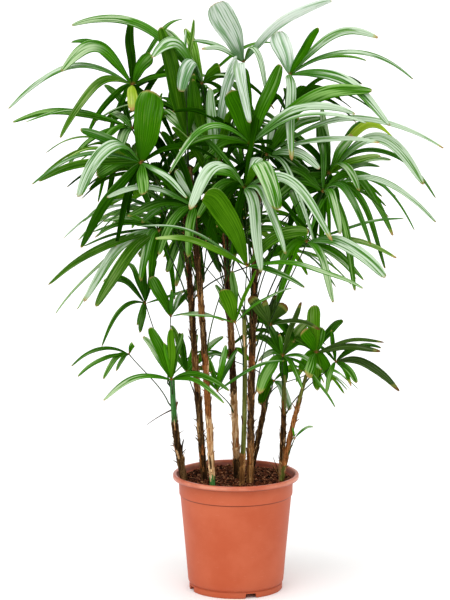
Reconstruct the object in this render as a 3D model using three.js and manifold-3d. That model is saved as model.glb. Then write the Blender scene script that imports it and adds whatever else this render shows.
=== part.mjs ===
import * as THREE from "three";
import { mergeVertices } from "three/addons/utils/BufferGeometryUtils.js";
import Module from "manifold-3d";

// Lady palm in a moulded plant pot: a clump of slender canes, each topped by
// fan-shaped fronds on thin stalks. Millimetres, +Z up. The origin is the
// centre of the pot's underside and the front of the plant looks along -Y.

const wasm = await Module();
wasm.setup();

// ---- driving sizes: pot and soil -------------------------------------------
const POT = {
  height: 270,
  rimOuter: 145,
  rimInner: 136,
  rimDepth: 11.5,
  neck: 131.5,
  bandFoot: 222,
  bandStep: 2,
  seamHeight: 15,
  seamRadius: 105,
  footRadius: 107,
  footWidth: 6,
  footHeight: 13,
  discRadius: 60,
  channelHeight: 9,
  floor: 13,
  wall: 3,
  sides: 28,
};
const NOTCH = { width: 25, height: 8, angles: [-71, 19, 109, 199] };
const SOIL = { top: 262, crown: 117, slump: 7, clear: 0.4 };

// ---- driving sizes: canes ----------------------------------------------------
// Each cane: foot [x, y], top [x, y, z], bow sideways at mid height, radius.
const CANES = {
  1: { foot: [-119, -30], top: [-145, -30, 495], bow: -6, radius: 9 },
  2: { foot: [-72, -40], top: [-118, -30, 940], bow: -2, radius: 8 },
  3: { foot: [-53, -100], top: [-105, -60, 985], bow: 4, radius: 8 },
  4: { foot: [3, -5], top: [-38, 0, 1000], bow: 4, radius: 8.5 },
  5: { foot: [13, -74], top: [18, -80, 660], bow: 4, radius: 5 },
  6: { foot: [32, -64], top: [52, -40, 975], bow: -4, radius: 8.5 },
  7: { foot: [38, 106], top: [86, 105, 520], bow: 3, radius: 6.5 },
  8: { foot: [104, -20], top: [109, -30, 505], bow: 2, radius: 6.5 },
  9: { foot: [104, -48], top: [160, -50, 510], bow: -4, radius: 6 },
};
const CANE = { sides: 6, rings: 5, taper: 0.82, lift: 0.3 };

// ---- driving sizes: fronds ---------------------------------------------------
// Each frond: name, its cane, height where the stalk leaves the cane, hub
// [x, y, z] and its fingers. A finger: bearing of its tip in the XZ plane
// (degrees up from +X), reach in that plane, how far its tip comes forward,
// how high it arches over the straight line (share of reach), its width.
const FRONDS = [
  ["frond_crown_top", 4, 960, [17, -20, 1215], [[-51, 80, 60, 0.8, 18], [35, 240, 20, 0.12, 28],
    [39, 70, -90, 0.1, 12], [115, 152, 110, 0.05, 60], [158, 125, -40, 0.1, 18], [162, 100, 30, 0.15, 15]]],
  ["frond_crown_right", 6, 930, [119, -60, 1190], [[-89, 188, 60, 0.3, 30], [-26, 244, 90, 0.2, 32],
    [-2, 275, 20, 0.22, 18], [8, 178, -90, 0.15, 15], [23, 212, 30, 0.22, 24], [60, 125, 60, 0.05, 24],
    [108, 98, -50, 0.1, 46]]],
  ["frond_crown_left", 4, 930, [-77, 10, 1165], [[20, 62, 80, 0.2, 8], [42, 58, 60, 0.1, 34],
    [110, 120, -190, 0.1, 30], [130, 150, -160, 0.1, 30], [152, 126, 60, 0.5, 36],
    [156, 320, 10, 0.21, 26], [199, 52, 70, 1.2, 34]]],
  ["frond_upper_left", 3, 930, [-235, 40, 1160], [[56, 80, -30, 0.15, 34], [95, 140, -200, 0.1, 28],
    [150, 170, -170, 0.2, 26], [169, 162, 30, 0.44, 36], [191, 286, 10, 0.24, 25],
    [216, 200, 60, 0.3, 26], [273, 60, 40, 0.2, 26]]],
  ["frond_left_broad", 2, 740, [-210, -160, 1005], [[81, 165, 40, 0.03, 72], [150, 152, 40, 0.1, 30],
    [190, 240, 60, 0.18, 17], [191, 232, -20, 0.1, 25], [200, 110, -70, 0.15, 44],
    [207, 150, 100, 0.52, 38], [235, 235, -10, 0.08, 30], [276, 70, 40, 0.1, 28], [325, 126, 60, 0.1, 18]]],
  ["frond_left_thin", 2, 800, [-236, 40, 1060], [[130, 110, -190, 0.2, 22], [150, 65, -60, 0.2, 22],
    [175, 238, 60, 0.14, 12], [177, 272, 0, 0.12, 22], [196, 60, 60, 0.3, 28], [211, 176, 30, 0.2, 16],
    [235, 45, 60, 0.4, 26]]],
  ["frond_tall_left", 2, 925, [-108, -10, 1045], [[30, 100, -120, 0.2, 24], [70, 120, -90, 0.1, 24],
    [85, 148, 30, 0.02, 26], [92, 178, -30, 0.02, 16], [104, 258, 20, 0.03, 44], [136, 80, -70, 0.1, 26]]],
  ["frond_spear", 3, 978, [-113, -25, 1180], [[82, 128, 5, 0.02, 15], [90, 108, -8, 0.02, 10]]],
  ["frond_upright_middle", 4, 860, [-50, -40, 940], [[62, 170, 120, 1.2, 38], [76, 178, 60, 0.2, 24],
    [83, 230, -60, 0.05, 26], [92, 225, 44, 0.04, 34], [101, 245, 0, 0.03, 30], [112, 190, -40, 0.05, 26],
    [125, 165, 20, 0.1, 24]]],
  ["frond_middle_dark", 6, 860, [31, -100, 1040], [[12, 259, 90, 0.17, 14], [17, 241, 60, 0.2, 24],
    [24, 295, 20, 0.14, 42], [69, 190, 0, 0.05, 38], [97, 160, 80, 0.3, 36], [110, 130, 40, 0.05, 46],
    [184, 158, 30, 0.14, 14], [199, 190, 50, 0.38, 22]]],
  ["frond_right_arching", 6, 830, [68, -50, 1010], [[-62, 238, 50, 0.25, 16], [-12, 120, 70, 0.2, 26],
    [2, 398, 0, 0.19, 21], [9, 250, 120, 0.1, 27], [28, 150, -60, 0.15, 26], [52, 115, 30, 0.1, 28],
    [75, 80, -30, 0.1, 22]]],
  ["frond_front_drooping", 4, 760, [19, -170, 950], [[165, 90, -40, 0.3, 30], [197, 126, 100, 0.6, 36],
    [281, 185, 60, 0.3, 33], [303, 163, 90, 0.35, 30], [330, 219, 80, 0.34, 30], [332, 80, 110, 1, 50],
    [420, 70, -50, 0.3, 30]]],
  ["frond_right_dark", 6, 620, [209, -20, 965], [[-25, 72, 90, 0.6, 26], [-14, 252, -30, 0.33, 14],
    [-6, 213, 40, 0.44, 40], [13, 144, 20, 0.12, 24], [22, 122, 60, 0.1, 20], [23, 168, -60, 0.42, 26],
    [60, 104, 30, 0.1, 26], [101, 110, -40, 0.05, 30], [194, 98, 20, 0.05, 26]]],
  ["frond_right_comb", 6, 580, [194, -70, 930], [[-72, 226, 80, 0.32, 27], [-68, 98, 60, 0.4, 24],
    [-51, 222, 30, 0.4, 20], [-47, 153, 70, 0.42, 26], [-34, 194, -40, 0.42, 26], [-25, 234, -70, 0.36, 13],
    [-15, 262, 20, 0.24, 26]]],
  ["frond_right_low", 6, 540, [158, -100, 820], [[-66, 140, 70, 0.3, 24], [-34, 154, 10, 0.14, 16],
    [-21, 182, 110, 0.21, 40], [-10, 205, -30, 0.12, 22], [15, 222, 30, 0.05, 9]]],
  ["frond_front_bright", 5, 650, [23, -190, 780], [[-22, 140, -20, 0.1, 20], [-10, 260, 40, 0.1, 15],
    [30, 158, 40, 0.19, 34], [120, 190, 90, 0.22, 56], [160, 258, 0, 0.12, 10], [161, 212, 60, 0.1, 20]]],
  ["frond_left_low", 2, 680, [-174, -60, 840], [[176, 130, -90, 0.15, 24], [205, 272, 60, 0.11, 34],
    [219, 302, 0, 0.12, 9], [223, 228, 50, 0.2, 30], [225, 266, -50, 0.15, 14], [229, 212, 90, 0.14, 36],
    [250, 120, 30, 0.3, 26]]],
  ["frond_left_pale", 3, 820, [-92, -110, 900], [[120, 90, -40, 0.1, 26], [171, 196, 70, 0.18, 30],
    [186, 150, 10, 0.15, 32], [200, 130, -60, 0.2, 30], [232, 130, 60, 0.3, 26], [262, 110, 50, 0.3, 26]]],
  ["frond_left_dark", 2, 700, [-104, 30, 830], [[80, 90, -60, 0.1, 30], [120, 110, -100, 0.1, 30],
    [170, 200, 10, 0.08, 15], [176, 178, -50, 0.08, 14], [182, 225, -20, 0.1, 14], [188, 245, 30, 0.08, 10],
    [205, 130, 60, 0.15, 26], [240, 110, 40, 0.2, 26]]],
  ["frond_low_left", 1, 478, [-208, 60, 655], [[18, 142, 40, 0.03, 11], [75, 95, -60, 0.1, 14],
    [92, 157, 10, 0.02, 19], [120, 90, -110, 0.2, 18], [152, 110, 10, 0.27, 21], [224, 140, 30, 0.3, 14]]],
  ["frond_low_upright", 1, 486, [-148, -30, 640], [[-2, 122, 30, 0.12, 10], [40, 90, -60, 0.2, 16],
    [65, 62, -20, 0.05, 13], [88, 66, 20, 0.05, 13], [116, 104, 10, 0.06, 30]]],
  ["frond_low_outer", 1, 440, [-243, -40, 555], [[68, 28, 10, 0.2, 14], [192, 135, 10, 0.22, 17],
    [200, 122, 60, 0.15, 15], [223, 80, 30, 0.25, 15], [229, 42, 50, 0.3, 14]]],
  ["frond_low_front", 1, 470, [-146, -85, 505], [[-20, 128, 60, 0.18, 15], [-10, 134, 20, 0.18, 18],
    [90, 123, 30, 0.03, 23], [112, 132, 10, 0.05, 30], [194, 157, 60, 0.2, 24]]],
  ["frond_low_inner", 2, 440, [-112, 20, 500], [[20, 90, -60, 0.2, 14], [47, 124, 30, 0.08, 18],
    [75, 96, 10, 0.05, 15], [110, 110, -50, 0.1, 18]]],
  ["frond_small_middle", 5, 540, [-2, -115, 640], [[34, 152, 40, 0.1, 9], [70, 135, 20, 0.04, 11],
    [108, 86, 30, 0.06, 36], [130, 60, -40, 0.1, 16], [171, 125, 10, 0.06, 9]]],
  ["frond_small_inner", 4, 420, [-42, -70, 475], [[28, 170, 50, 0.1, 12], [80, 111, 10, 0.05, 18],
    [140, 70, 20, 0.15, 12]]],
  ["frond_small_brown", 6, 470, [77, -60, 625], [[-3, 113, 30, 0.16, 20], [52, 62, 20, 0.1, 30],
    [103, 66, 10, 0.03, 17], [125, 84, 20, 0.05, 27]]],
  ["frond_stub_left", 8, 490, [106, -35, 550], [[-125, 96, 60, 0.22, 30], [-58, 84, 40, 0.2, 15],
    [-43, 163, 50, 0.16, 11], [-16, 92, 40, 0.18, 18], [72, 135, 20, 0.04, 18], [98, 52, 0, 0.02, 12]]],
  ["frond_stub_right", 9, 500, [182, -45, 560], [[-113, 52, 40, 0.1, 26], [2, 146, 20, 0.08, 20],
    [7, 157, -20, 0.1, 13], [78, 58, -20, 0.05, 28], [94, 113, 10, 0.04, 34], [119, 66, 30, 0.06, 30]]],
  ["frond_low_right", 8, 420, [227, -30, 535], [[-107, 76, 20, 0.2, 15], [-41, 62, 50, 0.2, 18],
    [-24, 158, 30, 0.2, 27], [30, 60, -60, 0.1, 14], [98, 78, 10, 0.03, 14]]],
  ["frond_tiny", 9, 330, [133, -66, 365], [[33, 52, 10, 0.2, 8], [100, 28, 0, 0.05, 6]]],
  ["frond_back_low", 7, 410, [88, 55, 475], [[-114, 76, -46, 0.24, 26], [-60, 74, 40, 0.24, 22],
    [10, 70, -50, 0.2, 12]]],
];

// The fronds behind follow one rule: from low to high they turn about the
// clump by golden steps, and the higher they stand the steeper they rise.
const BEHIND = {
  count: 17,
  canes: [6, 3, 4, 2],
  lowCane: 7,
  lowCount: 3,
  lowFrom: 430,
  lowStep: 35,
  lowScale: 0.62,
  lowest: 620,
  highest: 955,
  stalkLow: 235,
  stalkHigh: 165,
  turnFrom: 18,
  turnSpan: 144,
  riseFrom: 12,
  riseSpan: 52,
  fingers: 5,
  fan: 72,
  reach: 215,
  width: 32,
  arch: 0.22,
  droop: 28,
  droopSpan: 16,
  sag: 0.18,
};
const GOLDEN = 0.618034;
const SILVER = 0.414214;

const STALK = {
  sides: 3,
  rings: 4,
  shortRings: 3,
  shortLength: 170,
  root: 2.6,
  tip: 1.7,
  seat: 0.34,
  leave: 0.8,
  tipLength: 2.5,
};
const BLADE = {
  thick: 2.2,
  root: 2.2,
  rootFrom: 2.5,
  knuckles: [6, 5.5, 6.4, 5.2, 6.8, 5.8, 4.9, 7.2, 6.2],
  edgeOn: 0.5,
  roll: 22,
  levelFace: [0.3, -0.65, 0.7],
  steepFace: [0.1, -1, 0.2],
  shortReach: 235,
  steepArch: 0.24,
  short: [[0, 0], [0.5, 1], [1, 0.42]],
  long: [[0, 0], [0.42, 1], [0.78, 0.88], [1, 0.36]],
  steep: [[0, 0], [0.32, 0.95], [0.66, 0.95], [1, 0.36]],
};
const CLEAR = 0.3;
const JOINED = 0.9;
const NEAR = 2;
const WHOLE = 0.9995;
const SHIFTS = [0, 12, -12, 24, -24, 38, -38, 54, -54, 75, -75, 100, -100];
const SLIVER = 0.02;
const FACET = 0.006;
const ROUND = 3;
const UP = new THREE.Vector3(0, 0, 1);
const FRONT = new THREE.Vector3(0, -1, 0);

// ---- helpers ---------------------------------------------------------------
const radians = THREE.MathUtils.degToRad;
const vec = (x, y, z) => new THREE.Vector3(x, y, z);
const part = (value) => value - Math.floor(value);

function loft(rings) {
  const count = rings[0].length;
  const last = (rings.length - 1) * count;
  const faces = [];
  for (let r = 0; r + 1 < rings.length; r += 1) {
    for (let k = 0; k < count; k += 1) {
      const a = r * count + k;
      const b = r * count + ((k + 1) % count);
      faces.push(a, b, b + count, a, b + count, a + count);
    }
  }
  for (let k = 1; k + 1 < count; k += 1) {
    faces.push(0, k + 1, k, last, last + k, last + k + 1);
  }
  const geometry = new THREE.BufferGeometry();
  const numbers = rings.flat().flatMap((p) => p.toArray());
  geometry.setAttribute("position", new THREE.Float32BufferAttribute(numbers, 3));
  geometry.setIndex(faces);
  return geometry;
}

function signedVolume(points, faces) {
  let sum = 0;
  for (let f = 0; f < faces.length; f += 3) {
    const [a, b, c] = [0, 1, 2].map((k) => new THREE.Vector3().fromArray(points, 3 * faces[f + k]));
    sum += a.dot(b.cross(c)) / 6;
  }
  return sum;
}

function solid(geometry) {
  geometry.deleteAttribute("normal");
  geometry.deleteAttribute("uv");
  const merged = mergeVertices(geometry, 1e-3);
  const vertProperties = new Float32Array(merged.attributes.position.array);
  const triVerts = new Uint32Array(merged.index.array);
  if (signedVolume(vertProperties, triVerts) < 0) triVerts.reverse();
  return new wasm.Manifold(new wasm.Mesh({ numProp: 3, vertProperties, triVerts }));
}

function meshOf(body, name, colour, roughness) {
  const { vertProperties, triVerts } = body.getMesh();
  const geometry = new THREE.BufferGeometry();
  geometry.setAttribute("position", new THREE.Float32BufferAttribute(vertProperties, 3));
  geometry.setIndex(Array.from(triVerts));
  geometry.computeVertexNormals();
  const mesh = new THREE.Mesh(geometry, new THREE.MeshStandardMaterial({ color: colour, roughness }));
  mesh.name = name;
  return mesh;
}

function tube(points, radii, sides) {
  const rings = points.map((point, i) => {
    const along = points[Math.min(i + 1, points.length - 1)].clone();
    along.sub(points[Math.max(i - 1, 0)]).normalize();
    const side = Math.abs(along.z) > 0.95 ? vec(1, 0, 0) : vec(0, 0, 1);
    const across = side.clone().addScaledVector(along, -side.dot(along)).normalize();
    const over = new THREE.Vector3().crossVectors(along, across);
    return Array.from({ length: sides }, (_, k) => {
      const turn = (2 * Math.PI * k) / sides;
      return point.clone()
        .addScaledVector(across, radii[i] * Math.cos(turn))
        .addScaledVector(over, radii[i] * Math.sin(turn));
    });
  });
  return solid(loft(rings));
}

// ---- pot and soil ------------------------------------------------------------
function turned(profile) {
  const points = profile.map(([r, z]) => new THREE.Vector2(r, z));
  const geometry = new THREE.LatheGeometry(points, POT.sides);
  geometry.rotateX(Math.PI / 2);
  return solid(geometry);
}

function makePot() {
  const lipFoot = POT.height - POT.rimDepth;
  const outside = [
    [0, 0],
    [POT.discRadius, 0],
    [POT.discRadius + 2, POT.channelHeight],
    [POT.footRadius - POT.footWidth - 1, POT.channelHeight],
    [POT.footRadius - POT.footWidth, 0],
    [POT.footRadius, 0],
    [POT.footRadius, POT.footHeight],
    [POT.seamRadius, POT.seamHeight],
    [POT.seamRadius + 4, POT.seamHeight + 3],
    [POT.neck - POT.bandStep - 1.5, POT.bandFoot - 1],
    [POT.neck - 1, POT.bandFoot + 0.5],
    [POT.neck, lipFoot - 1.5],
    [POT.rimOuter, lipFoot + 1],
    [POT.rimOuter, POT.height - 3],
    [POT.rimOuter - 2.5, POT.height],
  ];
  const inside = [
    [POT.rimInner, POT.height],
    [POT.rimInner, lipFoot + 3],
    [POT.neck - POT.wall, lipFoot - 5],
    [POT.footRadius - 1, POT.floor],
    [0, POT.floor],
  ];
  let pot = turned([...outside, ...inside]);
  for (const angle of NOTCH.angles) {
    const notch = new THREE.BoxGeometry(POT.footWidth * 3, NOTCH.width, NOTCH.height * 2);
    notch.translate(POT.footRadius - POT.footWidth / 2, 0, 0);
    notch.rotateZ(radians(angle));
    pot = pot.subtract(solid(notch));
  }
  return pot;
}

function makeSoil() {
  const lipFoot = POT.height - POT.rimDepth;
  const slope = (POT.neck - POT.wall - POT.footRadius + 1) / (lipFoot - 5 - POT.floor);
  const edgeTop = SOIL.top - SOIL.slump - 4;
  return turned([
    [0, POT.floor + SOIL.clear],
    [POT.footRadius - 1 - SOIL.clear * 1.5, POT.floor + SOIL.clear],
    [POT.footRadius - 1 + slope * (edgeTop - POT.floor) - SOIL.clear * 1.5, edgeTop],
    [SOIL.crown, SOIL.top],
    [0, SOIL.top],
  ]);
}

// ---- canes -------------------------------------------------------------------
function caneAt(cane, z) {
  const share = (z - SOIL.top) / (cane.top[2] - SOIL.top);
  return vec(
    cane.foot[0] + (cane.top[0] - cane.foot[0]) * share + cane.bow * Math.sin(Math.PI * share),
    cane.foot[1] + (cane.top[1] - cane.foot[1]) * share,
    z,
  );
}

function makeCane(cane, grow) {
  const rings = [];
  for (let r = 0; r < CANE.rings; r += 1) {
    const share = r / (CANE.rings - 1);
    const foot = SOIL.top + CANE.lift - (share === 0 ? grow : 0);
    const z = foot + (cane.top[2] + (share === 1 ? grow : 0) - foot) * share;
    const centre = caneAt(cane, z);
    const radius = cane.radius * (1 - (1 - CANE.taper) * share) + grow / Math.cos(Math.PI / CANE.sides);
    rings.push(Array.from({ length: CANE.sides }, (_, k) => {
      const turn = (2 * Math.PI * (k + 0.5)) / CANE.sides;
      return vec(centre.x + radius * Math.cos(turn), centre.y + radius * Math.sin(turn), centre.z);
    }));
  }
  return solid(loft(rings));
}

// ---- fronds ------------------------------------------------------------------
function frontFronds() {
  return FRONDS.map(([name, cane, height, place, rows]) => {
    const hub = vec(...place);
    const fingers = rows.map(([bearing, reach, forward, arch, width], place) => {
      const turn = radians(bearing);
      const tip = hub.clone().add(vec(reach * Math.cos(turn), -forward, reach * Math.sin(turn)));
      return { place, tip, lift: 2 * arch * reach, arch, width };
    });
    return { name, cane, height, hub, fingers };
  });
}

function behindFrond(i) {
  const share = i / (BEHIND.count - 1);
  const low = i < BEHIND.lowCount;
  const scale = low ? BEHIND.lowScale : 1;
  const cane = low ? BEHIND.lowCane : BEHIND.canes[i % BEHIND.canes.length];
  const tall = BEHIND.lowest + (BEHIND.highest - BEHIND.lowest) * share;
  const height = low ? BEHIND.lowFrom + BEHIND.lowStep * i : tall;
  const turn = radians(BEHIND.turnFrom + BEHIND.turnSpan * part(0.2 + i * GOLDEN));
  const rise = radians(BEHIND.riseFrom + BEHIND.riseSpan * share);
  const stalk = scale * (BEHIND.stalkLow + (BEHIND.stalkHigh - BEHIND.stalkLow) * share);
  const out = vec(Math.cos(turn), Math.sin(turn), 0);
  const side = vec(-Math.sin(turn), Math.cos(turn), 0);
  const hub = caneAt(CANES[cane], height)
    .addScaledVector(out, stalk * Math.cos(rise))
    .addScaledVector(UP, stalk * Math.sin(rise));
  const fingers = Array.from({ length: BEHIND.fingers }, (_, j) => {
    const spread = radians(BEHIND.fan * ((2 * j) / (BEHIND.fingers - 1) - 1));
    const chance = part(i * GOLDEN + j * SILVER);
    const reach = scale * BEHIND.reach * (0.85 + 0.15 * Math.cos(spread)) * (0.9 + 0.2 * chance);
    const droop = radians(BEHIND.droop - BEHIND.droopSpan * part(i * SILVER + j * GOLDEN));
    const pitch = 0.6 * rise - droop;
    const tip = hub.clone()
      .addScaledVector(out, reach * Math.cos(spread) * Math.cos(pitch))
      .addScaledVector(side, reach * Math.sin(spread))
      .addScaledVector(UP, reach * (Math.cos(spread) * Math.sin(pitch) - BEHIND.sag));
    const width = scale * BEHIND.width * (0.8 + 0.4 * chance);
    return { place: j, tip, lift: 2 * BEHIND.arch * reach, arch: BEHIND.arch, width, plain: true };
  });
  const facing = out.clone().multiplyScalar(0.5).add(UP).normalize();
  return { name: `frond_behind_${String(i + 1).padStart(2, "0")}`, cane, height, hub, fingers, facing };
}

function bladeProfile(frond, finger) {
  if (finger.plain) return BLADE.short;
  if (finger.arch > BLADE.steepArch) return BLADE.steep;
  return finger.tip.distanceTo(frond.hub) < BLADE.shortReach ? BLADE.short : BLADE.long;
}

// Level fingers face upward and steep ones outward.
function faceOf(frond, chord) {
  if (frond.facing) return frond.facing;
  const [level, steep] = [BLADE.levelFace, BLADE.steepFace].map(([x, y, z]) => {
    return vec(x * Math.sign(frond.hub.x), y, z).normalize();
  });
  return level.lerp(steep, Math.abs(chord.z)).normalize();
}

function makeBlade(frond, finger, shift, grow) {
  const tip = finger.tip.clone().addScaledVector(FRONT, shift);
  const crest = frond.hub.clone().add(tip).multiplyScalar(0.5).addScaledVector(UP, finger.lift);
  const curve = new THREE.QuadraticBezierCurve3(frond.hub, crest, tip);
  const chord = tip.clone().sub(frond.hub).normalize();
  const level = new THREE.Vector3().crossVectors(faceOf(frond, chord), chord);
  if (level.length() < BLADE.edgeOn) level.crossVectors(FRONT, chord);
  level.applyAxisAngle(chord, radians(BLADE.roll) * (2 * part(0.3 + finger.place * GOLDEN) - 1));
  const low = -BLADE.thick / 2 - grow;
  const high = BLADE.thick / 2 + grow;
  const rings = bladeProfile(frond, finger).map(([share, fullness]) => {
    const along = curve.getTangent(share);
    const across = level.clone().addScaledVector(along, -level.dot(along)).normalize();
    const up = new THREE.Vector3().crossVectors(along, across);
    const centre = curve.getPoint(share);
    if (share === 0) centre.addScaledVector(along, BLADE.rootFrom - grow);
    if (share === 1) centre.addScaledVector(along, grow);
    const half = Math.max(finger.width * fullness, BLADE.root) / 2 + grow;
    const corners = grow > 0
      ? [[-half, low], [half, low], [half, low + 3 * grow], [0, high], [-half, low + 3 * grow]]
      : [[-half, low], [half, low], [0, high]];
    return corners.map(([a, b]) => centre.clone().addScaledVector(across, a).addScaledVector(up, b));
  });
  return solid(loft(rings));
}

function makeStalk(frond, start, shift, grow) {
  const heading = frond.hub.clone().sub(start);
  const length = heading.length();
  heading.normalize();
  const sideways = vec(shift * 0.35, shift, 0);
  const leave = heading.clone().addScaledVector(UP, STALK.leave).normalize();
  const curve = new THREE.CubicBezierCurve3(
    start,
    start.clone().addScaledVector(leave, 0.3 * length).add(sideways),
    frond.hub.clone().addScaledVector(heading, -0.35 * length).add(sideways),
    frond.hub,
  );
  const steps = (length < STALK.shortLength ? STALK.shortRings : STALK.rings) - 1;
  const points = curve.getPoints(steps);
  const step = (STALK.tip - STALK.root) / steps;
  const radii = points.map((_, i) => STALK.root + step * i + grow * 2);
  points[points.length - 1].addScaledVector(heading, STALK.tipLength);
  return tube(points, radii, STALK.sides);
}

// A stalk starts beside its cane, slid inwards until it all but touches.
function seatStalk(frond, shift, cane) {
  const start = caneAt(CANES[frond.cane], frond.height);
  const outward = frond.hub.clone().sub(start).setZ(0).normalize();
  start.addScaledVector(outward, CANES[frond.cane].radius + 2 * STALK.root);
  for (let turn = 0; turn < 3; turn += 1) {
    const gap = makeStalk(frond, start, shift, 0).minGap(cane, 4 * STALK.root);
    start.addScaledVector(outward, STALK.seat - gap);
  }
  return start;
}

// ---- keeping neighbours apart --------------------------------------------------
const standing = [];

function stand(body, owner) {
  standing.push({ body, owner, box: body.boundingBox() });
}

function meets(a, b) {
  return [0, 1, 2].every((k) => a.min[k] <= b.max[k] && b.min[k] <= a.max[k]);
}

// The fullest piece of a body that lies against its anchor.
function joinedPiece(body, anchor) {
  const pieces = body.decompose().filter((piece) => piece.minGap(anchor, NEAR) < JOINED);
  return pieces.sort((a, b) => b.volume() - a.volume())[0];
}

// What is left of a body beside all that already stands.
function clearOf(body, owner, anchor) {
  const box = body.boundingBox();
  const near = standing.filter((other) => other.owner !== owner && meets(box, other.box));
  const cuts = near.map((other) => other.body);
  return joinedPiece(cuts.length ? wasm.Manifold.difference([body, ...cuts]) : body, anchor);
}

// The first sideways shift that keeps a body whole, or else the fullest one.
function fit(make, owner, anchor) {
  let best = { share: 0 };
  for (const shift of SHIFTS) {
    const whole = make(shift);
    const kept = clearOf(whole, owner, anchor);
    const share = kept ? kept.volume() / whole.volume() : 0;
    if (share > best.share) best = { share, kept, shift };
    if (share > WHOLE) break;
  }
  return best;
}

function placeStalk(frond, cane) {
  const best = fit((shift) => makeStalk(frond, seatStalk(frond, shift, cane), shift, 0), frond.name, cane);
  stand(makeStalk(frond, seatStalk(frond, best.shift, cane), best.shift, CLEAR), frond.name);
  return best.kept;
}

// The height of a body's thinnest facet.
function thinnest(body) {
  const { vertProperties, triVerts } = body.getMesh();
  let least = Infinity;
  for (let f = 0; f < triVerts.length; f += 3) {
    const [a, b, c] = [0, 1, 2].map((k) => vec(0, 0, 0).fromArray(vertProperties, 3 * triVerts[f + k]));
    const area = new THREE.Triangle(a, b, c).getArea();
    const longest = Math.max(a.distanceTo(b), b.distanceTo(c), c.distanceTo(a));
    least = Math.min(least, (2 * area) / longest);
  }
  return least;
}

// True where every edge of the rounded body is shared by exactly two facets.
function closes(body) {
  const { vertProperties, triVerts } = body.getMesh();
  const key = (v) => [0, 1, 2].map((k) => vertProperties[3 * v + k].toFixed(ROUND)).join();
  const shared = new Map();
  for (let f = 0; f < triVerts.length; f += 3) {
    const corners = [0, 1, 2].map((k) => key(triVerts[f + k]));
    if (new Set(corners).size < 3) continue;
    for (let k = 0; k < 3; k += 1) {
      const edge = [corners[k], corners[(k + 1) % 3]].sort().join("|");
      shared.set(edge, (shared.get(edge) ?? 0) + 1);
    }
  }
  return [...shared.values()].every((count) => count === 2);
}

function joinFrond(frond, stalk, cane, radius) {
  const ball = solid(new THREE.OctahedronGeometry(radius).translate(...frond.hub.toArray()));
  const knuckle = clearOf(ball, frond.name, stalk);
  const blades = frond.fingers.map((finger) => ({
    finger,
    ...fit((shift) => makeBlade(frond, finger, shift, 0), frond.name, knuckle),
  }));
  const kept = blades.filter((blade) => blade.kept);
  const whole = wasm.Manifold.union([stalk, knuckle, ...kept.map((blade) => blade.kept)]);
  const body = joinedPiece(whole.simplify(SLIVER), cane);
  return { body, kept, thin: closes(body) ? thinnest(body) : 0 };
}

// The first knuckle that joins stalk and fingers with no sliver of a facet.
function placeFrond(frond, stalk, cane) {
  let best = { thin: -1 };
  for (const radius of BLADE.knuckles) {
    const made = joinFrond(frond, stalk, cane, radius);
    if (made.thin > best.thin) best = made;
    if (made.thin > FACET) break;
  }
  best.kept.forEach((blade) => stand(makeBlade(frond, blade.finger, blade.shift, CLEAR), frond.name));
  return best.body;
}

// ---- assembly ------------------------------------------------------------------
const COLOUR = { pot: 0xd56c4d, soil: 0x45281a, cane: 0x6b4a30, frond: 0x3f7a2e };
const group = new THREE.Group();
group.name = "lady_palm";
group.add(meshOf(makePot(), "pot", COLOUR.pot, 0.5));
group.add(meshOf(makeSoil(), "soil", COLOUR.soil, 1));

const canes = {};
for (const [number, cane] of Object.entries(CANES)) {
  canes[number] = makeCane(cane, 0);
  stand(makeCane(cane, CLEAR), `cane_${number}`);
  group.add(meshOf(canes[number], `cane_${number}`, COLOUR.cane, 0.85));
}

const fronds = [...frontFronds(), ...Array.from({ length: BEHIND.count }, (_, i) => behindFrond(i))];
const stalks = fronds.map((frond) => placeStalk(frond, canes[frond.cane]));
fronds.forEach((frond, i) => {
  const body = placeFrond(frond, stalks[i], canes[frond.cane]);
  group.add(meshOf(body, frond.name, COLOUR.frond, 0.45));
});

export default group;
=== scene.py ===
import math

import bpy
import numpy as np
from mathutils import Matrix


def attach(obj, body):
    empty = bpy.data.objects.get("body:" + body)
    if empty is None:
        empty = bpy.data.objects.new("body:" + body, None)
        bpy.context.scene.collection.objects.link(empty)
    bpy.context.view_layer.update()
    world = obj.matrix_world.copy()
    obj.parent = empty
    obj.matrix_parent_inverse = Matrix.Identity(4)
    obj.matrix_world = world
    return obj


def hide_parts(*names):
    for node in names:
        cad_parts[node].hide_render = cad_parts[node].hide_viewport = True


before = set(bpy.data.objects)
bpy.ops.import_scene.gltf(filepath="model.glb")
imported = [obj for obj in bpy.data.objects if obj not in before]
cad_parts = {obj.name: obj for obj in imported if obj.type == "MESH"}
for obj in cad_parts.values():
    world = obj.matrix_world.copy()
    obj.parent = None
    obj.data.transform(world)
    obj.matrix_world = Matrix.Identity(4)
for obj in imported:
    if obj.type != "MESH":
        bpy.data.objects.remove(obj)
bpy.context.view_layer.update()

# ---- camera ------------------------------------------------------------------
# A long lens at eye height, six metres in front of the plant, tipped down a
# little so that the pot stands just inside the lower edge of the frame.
CAMERA_PLACE = (-0.025, -6.0, 1.65)
CAMERA_PITCH = 9.25
CAMERA_LENS = 160.2
CAMERA_SENSOR = 36

camera_data = bpy.data.cameras.new("camera")
camera_data.lens = CAMERA_LENS
camera_data.sensor_width = CAMERA_SENSOR
camera_data.sensor_fit = "AUTO"
camera = bpy.data.objects.new("camera", camera_data)
camera.location = CAMERA_PLACE
camera.rotation_euler = (math.radians(90 - CAMERA_PITCH), 0, 0)
bpy.context.collection.objects.link(camera)
bpy.context.scene.camera = camera

# ---- pot ---------------------------------------------------------------------
# A nursery pot of terracotta-coloured plastic, moulded in one piece: tapered
# wall, a proud band under a rolled lip, and a foot ring with four drain
# notches. It stands on its foot ring and on the flat disc under its floor.
MM = 0.001
POT_SIDES = 288
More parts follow.
